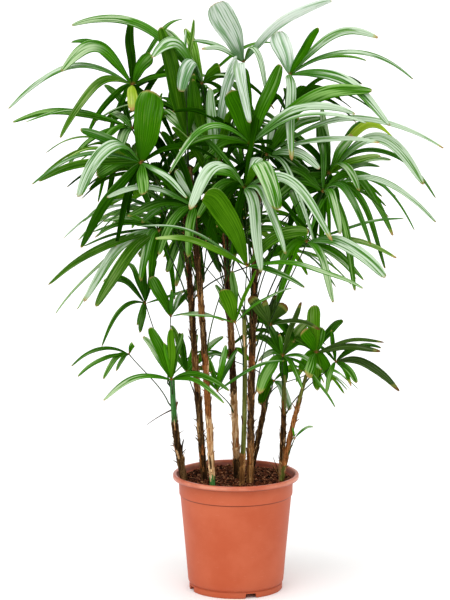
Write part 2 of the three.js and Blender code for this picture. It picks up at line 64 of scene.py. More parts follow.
# Radius and height (mm) up the outside of the wall, down the inside, and in
# across the underside.
POT_OUTSIDE = [
    (107, 0.4), (107.4, 1.2), (107.4, 11.8), (106.8, 13), (105.2, 13.8), (105, 15.2),
    (106, 16.2), (109, 18), (110.2, 21), (110.4, 23.5), (111.8, 40), (115, 80),
    (121.5, 150), (127.8, 217), (128, 219.5), (128.3, 221), (130.2, 222.6), (130.5, 224),
    (131.4, 250), (131.6, 257), (132.6, 258.3), (141.5, 258.6), (144.2, 259.4),
    (145, 261.2), (145, 266.5), (144, 269), (142, 270),
]
POT_INSIDE = [
    (138.6, 270), (136.6, 269), (136, 267), (135.6, 261.5), (129.5, 255), (128.4, 252),
    (125, 220), (122, 190), (107, 25), (103.5, 18), (60, 17.2), (0.5, 17),
]
POT_UNDER = [(101.6, 0.4), (101, 1.2), (100.2, 9), (62, 9), (60.6, 0.8), (60, 0), (30, 0), (0.5, 0)]
FOOT_RADIUS = 107
NOTCH_ANGLES = (-71, 19, 109, 199)
NOTCH_HALF = 13
NOTCH_TOP = 11.0
NOTCH_ROUND = 0.5
# The darkest colour is painted shade in the groove and under the lip, and painted shade with soil smears
# inside the wall.
POT_COLOURS = {
    "body": (189, 87, 52), "warm": (198, 99, 65), "pale": (232, 166, 136),
    "dust": (172, 88, 58), "shade_and_grime": (112, 48, 28),
}
# Heights (m) at which a mark on the wall sets in, is full, fades and ends.
# The lip's painted highlight:
LIP_HIGHLIGHT = (0.2605, 0.2645, 0.2672, 0.2698)
# Painted shade in the groove under the band, under the lip, and with soil smears down the inner wall:
GROOVE_SHADE = (0.2195, 0.2208, 0.2222, 0.2235)
UNDER_LIP_SHADE = (0.2525, 0.2575, 0.2584, 0.2592)
INNER_WALL = (0.1, 0.12, 0.262, 0.268)
LIP_FROM = (0.255, 0.262)
DUST_BELOW = (0.05, 0.0)
FINE_GRAIN = 420.0


def paint(red, green, blue):
    """A colour given as it looks on a screen, 0 to 255, turned into light."""
    levels = [c / 255 for c in (red, green, blue)]
    return tuple(c / 12.92 if c <= 0.04045 else ((c + 0.055) / 1.055) ** 2.4 for c in levels) + (1.0,)


class Wire:
    """A value on its way through a material; sums on it add Math nodes."""

    def __init__(self, look, socket):
        self.look = look
        self.socket = socket

    def math(self, operation, *others):
        inputs = dict(enumerate((self, *others)))
        return self.look.add("ShaderNodeMath", {"operation": operation}, inputs)

    def __add__(self, other):
        return self.math("ADD", other)

    def __sub__(self, other):
        return self.math("SUBTRACT", other)

    def __rsub__(self, other):
        return self.look.add("ShaderNodeMath", {"operation": "SUBTRACT"}, {0: other, 1: self})

    def __mul__(self, other):
        return self.math("MULTIPLY", other)

    def __truediv__(self, other):
        return self.math("DIVIDE", other)

    def __pow__(self, other):
        return self.math("POWER", other)

    def __gt__(self, other):
        return self.math("GREATER_THAN", other)

    def __lt__(self, other):
        return self.math("LESS_THAN", other)

    __radd__ = __add__
    __rmul__ = __mul__

    def fold(self, span):
        """Runs from 0 up to span and back down again."""
        return self.math("PINGPONG", span)

    def step(self, low, high):
        """0 below low, 1 above high, smooth between; low may be above high."""
        settings = {"interpolation_type": "SMOOTHSTEP"}
        if low > high:
            return 1 - self.look.add("ShaderNodeMapRange", settings, {0: self, 1: high, 2: low})
        return self.look.add("ShaderNodeMapRange", settings, {0: self, 1: low, 2: high})

    def within(self, start, full, fade, end):
        """0 below start, 1 from full to fade, 0 again above end."""
        return self.step(start, full) * self.step(end, fade)


class Look:
    """One material, or the sky, while it is being mixed."""

    def __init__(self, name, owners=bpy.data.materials):
        self.owner = owners.new(name)
        self.owner.use_nodes = True
        self.tree = self.owner.node_tree
        self.tree.nodes.clear()

    def add(self, kind, settings, inputs, output=0):
        """Any node: its type, its settings, and the values or wires of its sockets."""
        node = self.tree.nodes.new(kind)
        for key, value in settings.items():
            setattr(node, key, value)
        for key, value in inputs.items():
            if isinstance(value, Wire):
                self.tree.links.new(value.socket, node.inputs[key])
            else:
                node.inputs[key].default_value = value
        return Wire(self, node.outputs[output] if len(node.outputs) else None)

    def place(self):
        return self.add("ShaderNodeTexCoord", {}, {}, "Object")

    def map(self, name):
        return self.add("ShaderNodeUVMap", {"uv_map": name}, {})

    def facing(self, way):
        """1 where the surface looks along a way, -1 where it looks against it."""
        normal = self.add("ShaderNodeNewGeometry", {}, {}, "Normal")
        return self.add("ShaderNodeVectorMath", {"operation": "DOT_PRODUCT"}, {0: normal, 1: way}, "Value")

    def stretch(self, vector, scale):
        return self.add("ShaderNodeVectorMath", {"operation": "MULTIPLY"}, {0: vector, 1: scale})

    def join(self, x, y, z):
        return self.add("ShaderNodeCombineXYZ", {}, {0: x, 1: y, 2: z})

    def split(self, vector, axis):
        return self.add("ShaderNodeSeparateXYZ", {}, {0: vector}, axis)

    def noise(self, vector, scale, detail=3.0, rough=0.55):
        sockets = {"Vector": vector, "Scale": scale, "Detail": detail, "Roughness": rough}
        return self.add("ShaderNodeTexNoise", {}, sockets)

    def cells(self, vector, scale):
        return self.add("ShaderNodeTexVoronoi", {}, {"Vector": vector, "Scale": scale})

    def blend(self, share, first, second):
        return self.add("ShaderNodeMix", {"data_type": "RGBA"}, {0: share, 6: first, 7: second}, 2)

    def finish(self, colour, roughness, relief=None, depth=0.001, through=None, share=0.0, **fixed):
        """The shader itself. relief is raised by depth; through is the colour of the
        share of light that shines through; fixed are sockets by their names."""
        sockets = {"Base Color": colour, "Roughness": roughness}
        for key, value in fixed.items():
            sockets[key.replace("_", " ")] = value
        if relief is not None:
            bump = {"Height": relief, "Distance": depth, "Strength": 1.0}
            sockets["Normal"] = self.add("ShaderNodeBump", {}, bump)
        shader = self.add("ShaderNodeBsdfPrincipled", {}, sockets)
        if through is not None:
            glow = self.add("ShaderNodeBsdfTranslucent", {}, {"Color": through})
            shader = self.add("ShaderNodeMixShader", {}, {0: share, 1: shader, 2: glow})
        self.add("ShaderNodeOutputMaterial", {}, {"Surface": shader})
        return self.owner


class Pile:
    """The corners and faces of one piece, gathered sheet by sheet."""

    def __init__(self):
        self.points = []
        self.faces = []
        self.slots = []
        self.maps = []
        self.count = 0

    def sheet(self, points, slot=0, around=False, caps=False, blade=None, leaf=None):
        """A grid of rows and columns. slot is its finish, or the finish of each face;
        around joins its last column to its first, and caps then closes its ends;
        blade and leaf are its two maps."""
        rows, columns = points.shape[:2]
        blank = np.zeros((rows, columns, 2))
        pair = [blank if uv is None else uv for uv in (blade, leaf)]
        self.points.append(points.reshape(-1, 3))
        self.maps.append(np.concatenate([uv.reshape(-1, 2) for uv in pair], axis=1))
        grid = self.count + np.arange(rows * columns).reshape(rows, columns)
        self.count += rows * columns
        if around:
            grid = np.concatenate([grid, grid[:, :1]], axis=1)
        quads = np.stack([grid[:-1, :-1], grid[:-1, 1:], grid[1:, 1:], grid[1:, :-1]], axis=-1)
        made = quads.reshape(-1, 4).tolist()
        across = range(columns // 2 - 1) if caps else ()
        for row, way in ((grid[0].tolist(), 1), (grid[-1].tolist(), -1)):
            made += [[row[k], row[columns - 1 - k], row[columns - 2 - k], row[k + 1]][::way] for k in across]
        self.faces += made
        self.slots += [slot] * len(made) if np.isscalar(slot) else np.ravel(slot).tolist()

    def piece(self, name, looks, node, slot):
        """The finished object, in place of the solid of one node."""
        mesh = bpy.data.meshes.new(name)
        mesh.from_pydata(np.concatenate(self.points).tolist(), [], self.faces)
        maps = np.concatenate(self.maps).astype(np.float32)
        corners = np.empty(len(mesh.loops), dtype=np.int32)
        mesh.loops.foreach_get("vertex_index", corners)
        for k, title in enumerate(("Blade", "Leaf")):
            layer = mesh.uv_layers.new(name=title)
            layer.data.foreach_set("uv", maps[corners, 2 * k:2 * k + 2].ravel())
        for look in looks:
            mesh.materials.append(look)
        mesh.polygons.foreach_set("material_index", np.array(self.slots, dtype=np.int32))
        mesh.polygons.foreach_set("use_smooth", np.ones(len(self.slots), dtype=bool))
        mesh.update()
        made = bpy.data.objects.new(name, mesh)
        bpy.context.collection.objects.link(made)
        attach(made, "root")
        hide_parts(node)


def turned(profile, angles):
    """Radii and heights turned about the upright axis."""
    radii, heights = np.array(profile, dtype=float).T[..., None]
    return np.stack([radii * np.cos(angles), radii * np.sin(angles), heights + 0 * angles], axis=-1)


def turned_pot():
    """The wall and the underside; each notch lifts the lowest rows of both."""
    angles = np.linspace(0, 2 * np.pi, POT_SIDES, endpoint=False)
    lift = np.zeros(POT_SIDES)
    for notch in NOTCH_ANGLES:
        away = np.abs((np.degrees(angles) - notch + 180) % 360 - 180)
        lift[np.radians(away) * FOOT_RADIUS < NOTCH_HALF] = NOTCH_TOP
    wall = turned(POT_OUTSIDE + POT_INSIDE, angles)
    wall[:3, :, 2] = np.maximum(wall[:3, :, 2], [lift, lift, lift + NOTCH_ROUND])
    under = turned([POT_OUTSIDE[0]] + POT_UNDER, angles)
    under[:3, :, 2] = np.maximum(under[:3, :, 2], lift)
    pile = Pile()
    pile.sheet(wall * MM, around=True)
    pile.sheet(under[::-1] * MM, around=True)
    return pile


def pot_look():
    """Plain plastic, scuffed pale at the lip and dusty at the foot, with a painted highlight on the lip's
    top roll;
    painted shade in the groove under the band and under the lip, and painted shade with soil smears down the
    inside of the wall."""
    look = Look("pot_plastic")
    body, warm, pale, dust, shade_and_grime = (paint(*colour) for colour in POT_COLOURS.values())
    place = look.place()
    height = look.split(place, 2)
    cloud = look.noise(place, 9.0, 4.0)
    fine = look.noise(place, FINE_GRAIN, 2.0)
    rings = look.noise(look.stretch(place, (4.0, 4.0, 260.0)), 1.0, 2.0)
    scuffs = look.noise(look.stretch(place, (60.0, 60.0, 240.0)), 1.0, 5.0, 0.7)
    lip = height.step(*LIP_FROM)
    worn = scuffs.step(0.6, 0.74) * (0.25 + 0.75 * lip)
    # A painted highlight along the lip's top roll, patchy.
    crest = height.within(*LIP_HIGHLIGHT) * (0.05 + 0.5 * cloud.step(0.42, 0.6))
    dusty = height.step(*DUST_BELOW) * cloud.step(0.3, 0.7)
    # Painted shade with soil smears down the inside of the wall.
    inside = (look.facing(place) < 0.0) * height.within(*INNER_WALL) * (0.3 + 0.8 * scuffs)
    # Painted shade in the groove under the band and under the lip, with the inner wall's.
    shaded_and_grimy = height.within(*GROOVE_SHADE) * 0.55 + height.within(*UNDER_LIP_SHADE) * 0.5 + inside
    colour = look.blend(cloud.step(0.35, 0.7), body, warm)
    # Pale scuffs, and the painted highlight on the lip.
    colour = look.blend(worn * 0.55 + crest, colour, pale)
    colour = look.blend(dusty * 0.5, colour, dust)
    colour = look.blend(shaded_and_grimy, colour, shade_and_grime)
    roughness = 0.42 + cloud * 0.12 + worn * 0.2
    relief = rings * 0.35 + fine * 0.25 + scuffs * 0.3
    return look.finish(colour, roughness, relief, 0.0004, Specular_IOR_Level=0.2,
                       Coat_Weight=lip * 0.7, Coat_Roughness=0.3)


turned_pot().piece("pot_shell", [pot_look()], "pot", "pot")

# ---- soil --------------------------------------------------------------------
# Dark peat compost, heaped a little between the canes and sunk at the wall,
# with loose crumbs, pale chips and short fibres lying on it. It fills the pot
# to just under the lip.
UP = np.array([0.0, 0.0, 1.0])
SOIL_SEED = 11
LUMPS_SEED = 5
SOIL_TOP = 262 * MM
SOIL_WALL = 128 * MM
SOIL_DEPTH = 30 * MM
SOIL_COLOURS = {"dark": (16, 4, 0), "mid": (104, 54, 32), "fibre": (196, 136, 90)}
# The surface's lumps: how many in a metre, and how high (mm).
SOIL_LUMPS = ((28, 2.2), (75, 2.4), (190, 1.6), (420, 0.6))
SOIL_SUNK = 1.6
SLUMP = 5.0
SLUMP_FROM = 0.8
SOIL_RINGS = 56
SOIL_SIDES = 150
CRUMBS = 1500
CRUMBS_PER_CHIP = 9
CRUMB_SIDES = 5
CRUMB_ROWS = ((-0.8, 0.5), (-0.1, 1.0), (0.6, 0.6), (0.8, 0.05))
THREADS = 420
THREAD_WIDTH = 0.45 * MM
PEAT, FIBRE = 0, 1
LATTICE = (73856093, 19349663, 83492791)


def value_noise(points, scale, seed):
    """Smooth lumps between -1 and 1, from a lattice of scattered numbers."""
    spots = points * scale
    cell = np.floor(spots).astype(np.int64)
    share = spots - cell
    share = share * share * (3 - 2 * share)
    total = np.zeros(len(points))
    for corner in range(8):
        bits = np.array([(corner >> k) & 1 for k in range(3)])
        key = (cell + bits) @ np.array(LATTICE) + seed * 2654435
        key = (key ^ (key >> 13)) * 1274126177 & 0xFFFFFFFF
        level = ((key ^ (key >> 16)) & 0xFFFF) / 32768 - 1
        weight = np.prod(np.where(bits == 1, share, 1 - share), axis=1)
        total += level * weight
    return total


def level_way(turn):
    """The level direction at an angle, or at each of many."""
    return np.stack([np.cos(turn), np.sin(turn), np.zeros_like(turn)], axis=-1)


def soil_height(x, y):
    flat = np.stack([x, y, np.zeros_like(x)], axis=-1).reshape(-1, 3)
    lumps = sum(value_noise(flat, scale, LUMPS_SEED) * size for scale, size in SOIL_LUMPS)
    near_wall = np.clip((np.hypot(x, y) / SOIL_WALL - SLUMP_FROM) / (1 - SLUMP_FROM), 0, 1)
    return SOIL_TOP + (lumps.reshape(np.shape(x)) - SOIL_SUNK - SLUMP * near_wall ** 2) * MM


def spot_on_soil(rng, spread):
    reach = SOIL_WALL * spread * math.sqrt(rng.random())
    spot = reach * level_way(rng.random() * 2 * math.pi)
    return spot + UP * soil_height(spot[0:1], spot[1:2])[0]


def add_surface(pile):
    angles = np.linspace(0, 2 * np.pi, SOIL_SIDES, endpoint=False)
    top = SOIL_WALL * np.linspace(0.004, 1, SOIL_RINGS)[:, None, None] * level_way(angles)
    top[..., 2] = soil_height(top[..., 0], top[..., 1])
    skirt = top[-1:] * [0.96, 0.96, 0] + UP * (SOIL_TOP - SOIL_DEPTH)
    pile.sheet(np.concatenate([top, skirt]), PEAT, around=True)


def add_crumb(pile, rng, slot):
    spot = spot_on_soil(rng, 0.97)
    size = (0.8 + 2.4 * rng.random() ** 2) * MM
    middle = spot + UP * 0.3 * size
    ring = level_way(np.linspace(0, 2 * np.pi, CRUMB_SIDES, endpoint=False) + rng.random())
    rows = []
    for level, width in CRUMB_ROWS:
        wide = size * width * (0.75 + 0.5 * rng.random(CRUMB_SIDES))
        rows.append(middle + UP * size * level + wide[:, None] * ring)
    pile.sheet(np.array(rows), slot, around=True)


def add_thread(pile, rng):
    start = spot_on_soil(rng, 0.95)
    heading = rng.random() * 2 * math.pi
    length = (4 + 9 * rng.random()) * MM
    share = np.linspace(0, 1, 4)
    bend = 0.7 * (rng.random() - 0.5)
    rise = (0.4 + 4.0 * share * (1 - share) * rng.random()) * MM
    line = start + (length * share)[:, None] * level_way(heading + bend * share) + rise[:, None] * UP
    side = np.cross(UP, level_way(heading)) * THREAD_WIDTH
    pile.sheet(np.stack([line - side, line + UP * THREAD_WIDTH, line + side], axis=1), FIBRE, around=True)


def soil_mass(rng):
    pile = Pile()
    add_surface(pile)
    for k in range(CRUMBS):
        add_crumb(pile, rng, PEAT if k % CRUMBS_PER_CHIP else FIBRE)
    for _ in range(THREADS):
        add_thread(pile, rng)
    return pile


def soil_looks():
    dark, mid, pale = (paint(*colour) for colour in SOIL_COLOURS.values())
    peat = Look("peat")
    place = peat.place()
    clods = peat.noise(place, 110.0, 4.0, 0.65)
    grain = peat.noise(place, FINE_GRAIN, 4.0, 0.7)
    colour = peat.blend((clods * 0.8 + grain * 0.2).step(0.43, 0.6), dark, mid)
    peat_material = peat.finish(colour, 0.95, grain + clods, 0.0016, Specular_IOR_Level=0.05)
    fibre = Look("peat_fibre")
    streak = fibre.noise(fibre.place(), 220.0, 2.0)
    colour = fibre.blend(streak.step(0.35, 0.65), mid, pale)
    return [peat_material, fibre.finish(colour, 0.85, streak, 0.0003)]


soil_mass(np.random.default_rng(SOIL_SEED)).piece("soil_fill", soil_looks(), "soil", "soil")

# ---- canes -------------------------------------------------------------------
# Slender upright canes, ringed where old leaves fell and wrapped in the woven
# brown fibre of their leaf bases, which dries to tan flakes that peel off.
# They grow out of the soil in one clump.
GOLDEN = 0.618034
CANES = {
    1: {"foot": (-119, -30), "top": (-145, -30, 495), "bow": -6, "radius": 9},
    2: {"foot": (-72, -40), "top": (-118, -30, 940), "bow": -2, "radius": 8},
    3: {"foot": (-53, -100), "top": (-105, -60, 985), "bow": 4, "radius": 8},
    4: {"foot": (3, -5), "top": (-38, 0, 1000), "bow": 4, "radius": 8.5},
    5: {"foot": (13, -74), "top": (18, -80, 660), "bow": 4, "radius": 5},
    6: {"foot": (32, -64), "top": (52, -40, 975), "bow": -4, "radius": 8.5},
    7: {"foot": (38, 106), "top": (86, 105, 520), "bow": 3, "radius": 6.5},
    8: {"foot": (104, -20), "top": (109, -30, 505), "bow": 2, "radius": 6.5},
    9: {"foot": (104, -48), "top": (160, -50, 510), "bow": -4, "radius": 6},
}
CANE_SEED = 100
CANE_FOOT = 262
CANE_ROOT = 250
CANE_TAPER = 0.82
CANE_SIDES = 22
CANE_STEP = 2.6
# How far (mm) the cane itself lies inside its full radius, under the sheath.
SLIM = {5: -0.9, 7: 0.2, 8: 0.6, 9: 0.6}
SLIM_TALL = 1.4
SHEATH = 34.0
# Counts of hairs and stubs on a cane of this height above the soil.
FULL_CANE = 700
HAIRS = 620
HAIR_WIDTH = 0.3
STUBS = 46
STUB_RADII = (1.1, 0.9, 0.6, 0.15)
FLAKES = {1: 14, 2: 34, 3: 24, 4: 40, 5: 12, 6: 38, 7: 16, 8: 24, 9: 20}
FLAKE_FINISHES = ("fibre", "tan", "tan", "pale", "rust")
FLAKE_SECTION = ((-1, 0), (-0.4, 0.35), (0.4, 0.35), (1, 0), (0.4, 0.0), (-0.4, 0.0))
FLAKE_OUTLINE = ((0, 0.5, 0.85, 1), (1, 0.9, 0.55, 0.12))
PETIOLES = {2: 6, 3: 4, 4: 8, 6: 9}
# Stiff bits that stand off a cane: height, direction, length, lean from upright.
SPIKES = {
    1: [(300, 200, 16, 55, "fibre"), (322, -10, 18, 40, "fibre"), (338, 170, 14, 70, "fibre"),
        (310, -30, 20, 20, "tan"), (424, 205, 68, 108, "fibre")],
    2: [(352, 190, 16, 40, "fibre"), (400, 170, 12, 60, "fibre"), (300, 10, 14, 30, "tan")],
    4: [(330, 185, 20, 18, "tan"), (318, 0, 24, 12, "tan"), (282, 200, 26, 16, "rust")],
    5: [(560, -60, 26, 14, "rust"), (300, 160, 24, 12, "tan")],
    6: [(268, -60, 60, 6, "tan"), (400, 10, 14, 40, "fibre"), (330, 0, 16, 30, "fibre")],
    8: [(268, 175, 44, 34, "fibre"), (266, 195, 36, 26, "tan"), (270, 150, 50, 22, "fibre"),
        (272, -20, 30, 18, "tan"), (345, 0, 16, 55, "fibre"), (420, 160, 18, 30, "olive")],
    9: [(300, 185, 16, 40, "tan"), (352, 10, 30, 30, "olive"), (400, -10, 14, 50, "rust"),
        (430, 175, 18, 24, "rust"), (290, 5, 14, 34, "tan")],
}
SPIKE_RADII = ((0, 0.3, 0.9, 1), (2.0, 1.3, 0.7, 0.2))
# Which finish clothes each cane between which heights (mm above the floor);
# anything not listed is dark fibre.
DRESS = {
    1: [(395, 520, "green")],
    2: [(470, 560, "tan")],
    3: [(250, 286, "green"), (286, 420, "pale"), (420, 560, "rust"), (640, 700, "tan")],
    4: [(300, 455, "pale"), (560, 640, "tan")],
    5: [(255, 330, "tan"), (330, 680, "olive")],
    6: [(255, 360, "tan"), (520, 560, "rust")],
    7: [(470, 530, "olive")],
    8: [(255, 300, "tan"), (415, 520, "olive")],
    9: [(255, 300, "olive"), (300, 440, "rust"), (440, 520, "olive")],
}
CANE_COLOURS = {
    "fibre": ((28, 14, 4), (84, 58, 28), (158, 124, 80)),
    "tan": ((84, 52, 22), (160, 112, 62), (216, 178, 128)),
    "pale": ((150, 98, 52), (230, 194, 144), (246, 226, 192)),
    "rust": ((96, 54, 22), (160, 98, 50), (206, 150, 92)),
    "green": ((42, 94, 32), (82, 138, 72), (148, 186, 134)),
    "olive": ((58, 64, 16), (104, 108, 42), (150, 146, 84)),
    "stem": ((18, 36, 4), (44, 72, 12), (84, 110, 40)),
}
CANE_FINISHES = list(CANE_COLOURS)
SMOOTH_FINISHES = ("green", "olive", "stem")


def cane_top(number):
    return CANES[number]["top"][2]


def cane_share(number, z):
    """0 where a cane leaves the soil, 1 at its top."""
    return (np.asarray(z, dtype=float) - CANE_FOOT) / (cane_top(number) - CANE_FOOT)


def cane_axis(number, z):
    """The middle of a cane at one height or many, all in mm."""
    cane = CANES[number]
    share = cane_share(number, z)
    x = cane["foot"][0] + (cane["top"][0] - cane["foot"][0]) * share
    x = x + cane["bow"] * np.sin(np.pi * np.clip(share, 0, 1))
    y = cane["foot"][1] + (cane["top"][1] - cane["foot"][1]) * share
    return np.stack([x, y, np.asarray(z, dtype=float)], axis=-1)


def cane_radius(number, z):
    return CANES[number]["radius"] * (1 - (1 - CANE_TAPER) * np.clip(cane_share(number, z), 0, 1))


def dress_of(number, z):
    return next((finish for low, high, finish in DRESS.get(number, []) if low <= z < high), "fibre")


def add_tube(pile, line, radii, sides, slot):
    """A round tube along a line, in mm."""
    along = np.gradient(line, axis=0)
    along /= np.linalg.norm(along, axis=1)[:, None]
    guide = np.array([0.31, -0.87, 0.38])
    side = guide[None] - (along @ guide)[:, None] * along
    side /= np.linalg.norm(side, axis=1)[:, None]
    over = np.cross(along, side)
    turn = np.linspace(0, 2 * np.pi, sides, endpoint=False)[:, None]
    ring = side[:, None] * np.cos(turn) + over[:, None] * np.sin(turn)
    pile.sheet((line[:, None] + ring * np.asarray(radii)[:, None, None]) * MM, slot, around=True)


def line_off(number, z, turn, depth, length, lean, steps):
    """A straight line out of a cane's side, from a share of its radius deep."""
    out = level_way(turn)
    start = cane_axis(number, z) + out * (cane_radius(number, z) * depth)
    return start + length * np.linspace(0, 1, steps)[:, None] * (out * math.sin(lean) + UP * math.cos(lean))


def add_sheath(pile, number):
    """The cane in its sheath: lumpy fibre that swells towards the upper edge of
    each old leaf base, or smooth green cane with fine rings."""
    top = cane_top(number)
    heights = np.sort(np.append(np.arange(CANE_ROOT, top + 0.1, CANE_STEP), [top - 0.2, top]))
    radius = cane_radius(number, heights)[:, None]
    turn = np.linspace(0, 2 * np.pi, CANE_SIDES, endpoint=False)
    ring = level_way(turn)
    axis = cane_axis(number, heights)[:, None]
    flat = (axis + ring * radius[..., None]).reshape(-1, 3)
    size = (len(heights), CANE_SIDES)
    long = flat * np.array([1, 1, 0.07])
    lumps = value_noise(long, 0.35, number) * 0.7 + value_noise(long, 0.9, number + 40) * 0.45
    drift = 9 * value_noise(heights[:, None] * np.array([0.02, 0, 0]), 1.0, number)
    sheath = ((heights + drift)[:, None] + 5 * np.sin(turn + number)) / SHEATH % 1.0
    longer = flat * np.array([1, 1, 0.05])
    ragged = 14 * value_noise(longer, 0.22, number + 9) + 5 * value_noise(longer, 0.7, number + 19)
    dress = [[dress_of(number, z) for z in row] for row in heights[:, None] + ragged.reshape(size)]
    smooth = np.isin(dress, SMOOTH_FINISHES)
    step = np.where(smooth, 0.25 * np.exp(-((sheath - 0.5) / 0.05) ** 2), 0.4 + 1.5 * sheath ** 2)
    shape = np.where(smooth, 0.25, 1.0) * lumps.reshape(size) + step
    close = np.ones((len(heights), 1))
    close[-2:, 0] = (0.7, 0.05)
    points = axis + ring * ((radius - SLIM.get(number, SLIM_TALL) + shape) * close)[..., None]
    slots = [[CANE_FINISHES.index(finish) for finish in row] for row in dress[:-1]]
    pile.sheet(points * MM, slots, around=True)


def add_hairs(pile, number, rng):
    """Crossed hairs of the woven sheath, a few of them loose."""
    top = cane_top(number)
    share = np.linspace(0, 1, 5)
    for _ in range(int(HAIRS * (top - CANE_FOOT) / FULL_CANE)):
        z = 264 + (top - 290) * rng.random()
        finish = dress_of(number, z)
        if finish in SMOOTH_FINISHES or (finish == "pale" and rng.random() < 0.7):
            continue
        turn = rng.random() * 2 * math.pi
        length = 10 + 22 * rng.random()
        slant = (1 if rng.random() < 0.5 else -1) * (0.02 + 0.03 * rng.random())
        loose = 8 * rng.random() ** 4
        heights = np.minimum(z + length * share, top)
        out = level_way(turn + slant * length * share)
        reach = cane_radius(number, heights) - HAIR_WIDTH + loose * share ** 2
        line = cane_axis(number, heights) + out * reach[:, None]
        side = np.cross(UP, out) * HAIR_WIDTH
        slot = CANE_FINISHES.index("tan" if rng.random() < 0.35 else finish)
        hair = np.stack([line - side, line + out * HAIR_WIDTH, line + side], axis=1)
        pile.sheet(hair * MM, slot, around=True)


def add_flakes(pile, number, rng):
    """Dry pieces of old sheath that peel off and stand away."""
    top = cane_top(number)
    share = np.linspace(0, 1, 7)
    for _ in range(FLAKES[number]):
        z = 266 + (top - 330) * rng.random() ** 1.3
        turn = rng.random() * 2 * math.pi
        length = 14 + 34 * rng.random()
        width = 1.6 + 3.4 * rng.random()
        open_by = 1 + 10 * rng.random() ** 2
        heights = z + length * share
        reach = cane_radius(number, np.minimum(heights, top)) - 0.4 + open_by * share ** 2
        line = cane_axis(number, np.minimum(heights, top))
        line[:, 2] = heights - 0.25 * open_by * share ** 2
        wide = width * np.interp(share, *FLAKE_OUTLINE) * (0.85 + 0.3 * rng.random(7))
        columns = [line + level_way(turn + across * wide / 10) * (reach + lift)[:, None]
                   for across, lift in FLAKE_SECTION]
        slot = CANE_FINISHES.index(rng.choice(FLAKE_FINISHES))
        pile.sheet(np.stack(columns, axis=1) * MM, slot, around=True, caps=True)


def add_spikes(pile, number, rng):
    """Stiff ribs of old sheaths at the foot, and the dried stalk of a lost frond."""
    share = np.linspace(0, 1, 8)[:, None]
    for z, turn, length, lean, finish in SPIKES.get(number, []):
        line = line_off(number, z, math.radians(turn), 0.7, length, math.radians(lean), 8)
        line -= UP * 0.12 * length * share ** 2
        line += 0.02 * length * rng.normal(0, 1, (1, 3)) * share ** 2
        add_tube(pile, line, np.interp(share[:, 0], *SPIKE_RADII), 7, CANE_FINISHES.index(finish))


def add_stubs(pile, number, rng):
    """Short stiff hairs that stick up and out all over the sheath."""
    top = cane_top(number)
    for _ in range(int(STUBS * (top - CANE_FOOT) / FULL_CANE)):
        z = 268 + (top - 330) * rng.random()
        finish = dress_of(number, z)
        if finish in SMOOTH_FINISHES:
            continue
        turn = 2 * math.pi * rng.random()
        length = 5 + 11 * rng.random() ** 2
        lean = math.radians(20 + 40 * rng.random())
        line = line_off(number, z, turn, 0.85, length, lean, len(STUB_RADII))
        add_tube(pile, line, STUB_RADII, 5, CANE_FINISHES.index("tan" if rng.random() < 0.25 else finish))


def add_petioles(pile, number, rng):
    """Thin green stalks that leave the cane low down and rise into the crown."""
    share = np.linspace(0, 1, 12)[:, None]
    for k in range(PETIOLES.get(number, 0)):
        z = 560 + 220 * rng.random()
        out = level_way(2 * math.pi * (k * GOLDEN + 0.1 * number))
        rise = 190 + 110 * rng.random()
        away = 40 + 100 * rng.random()
        start = cane_axis(number, z) + out * (cane_radius(number, z) * 0.8)
        line = start + UP * rise * share + out * away * share ** 1.5
        add_tube(pile, line, np.linspace(1.7, 1.0, 12), 6, CANE_FINISHES.index("stem"))


def cane_look(finish):
    """Grain that runs up the cane; smooth finishes have fainter relief."""
    dark, mid, light = (paint(*colour) for colour in CANE_COLOURS[finish])
    look = Look(f"cane_{finish}")
    place = look.place()
    strands = look.noise(look.stretch(place, (700.0, 700.0, 16.0)), 1.0, 3.0, 0.6)
    weave = look.noise(look.stretch(place, (900.0, 900.0, 200.0)), 1.0, 3.0, 0.7)
    patches = look.noise(look.stretch(place, (170.0, 170.0, 9.0)), 1.0, 4.0, 0.65)
    rings = look.noise(look.stretch(place, (20.0, 20.0, 300.0)), 1.0, 2.0)
    shade = (strands * 0.5 + patches * 0.5).step(0.42, 0.59)
    sparks = (weave * 0.35 + patches * 0.65).step(0.52, 0.64)
    smooth = finish in SMOOTH_FINISHES
    colour = look.blend(sparks * (0.5 if smooth else 0.75), look.blend(shade, dark, mid), light)
    if smooth:
        return look.finish(colour, 0.5, rings * 0.4 + strands * 0.3, 0.0004, Specular_IOR_Level=0.08)
    return look.finish(colour, 0.82, weave * 0.6 + strands * 0.9, 0.0011, Specular_IOR_Level=0.08)


CANE_LOOKS = [cane_look(finish) for finish in CANE_FINISHES]


def make_cane(number):
    rng = np.random.default_rng(CANE_SEED + number)
    pile = Pile()
    add_sheath(pile, number)
    for add in (add_hairs, add_flakes, add_spikes, add_stubs, add_petioles):
        add(pile, number, rng)
    pile.piece(f"cane_{number}_sheathed", CANE_LOOKS, f"cane_{number}", "cane")


for number in CANES:
    make_cane(number)

# ---- fronds ------------------------------------------------------------------
# Each frond is a thin stiff stalk that clasps its cane and ends in a small
# brown hub. Long fingers spread from the hub like a hand: pleated, glossy dark
# green above and paler below, with blunt toothed tips that dry to tan.

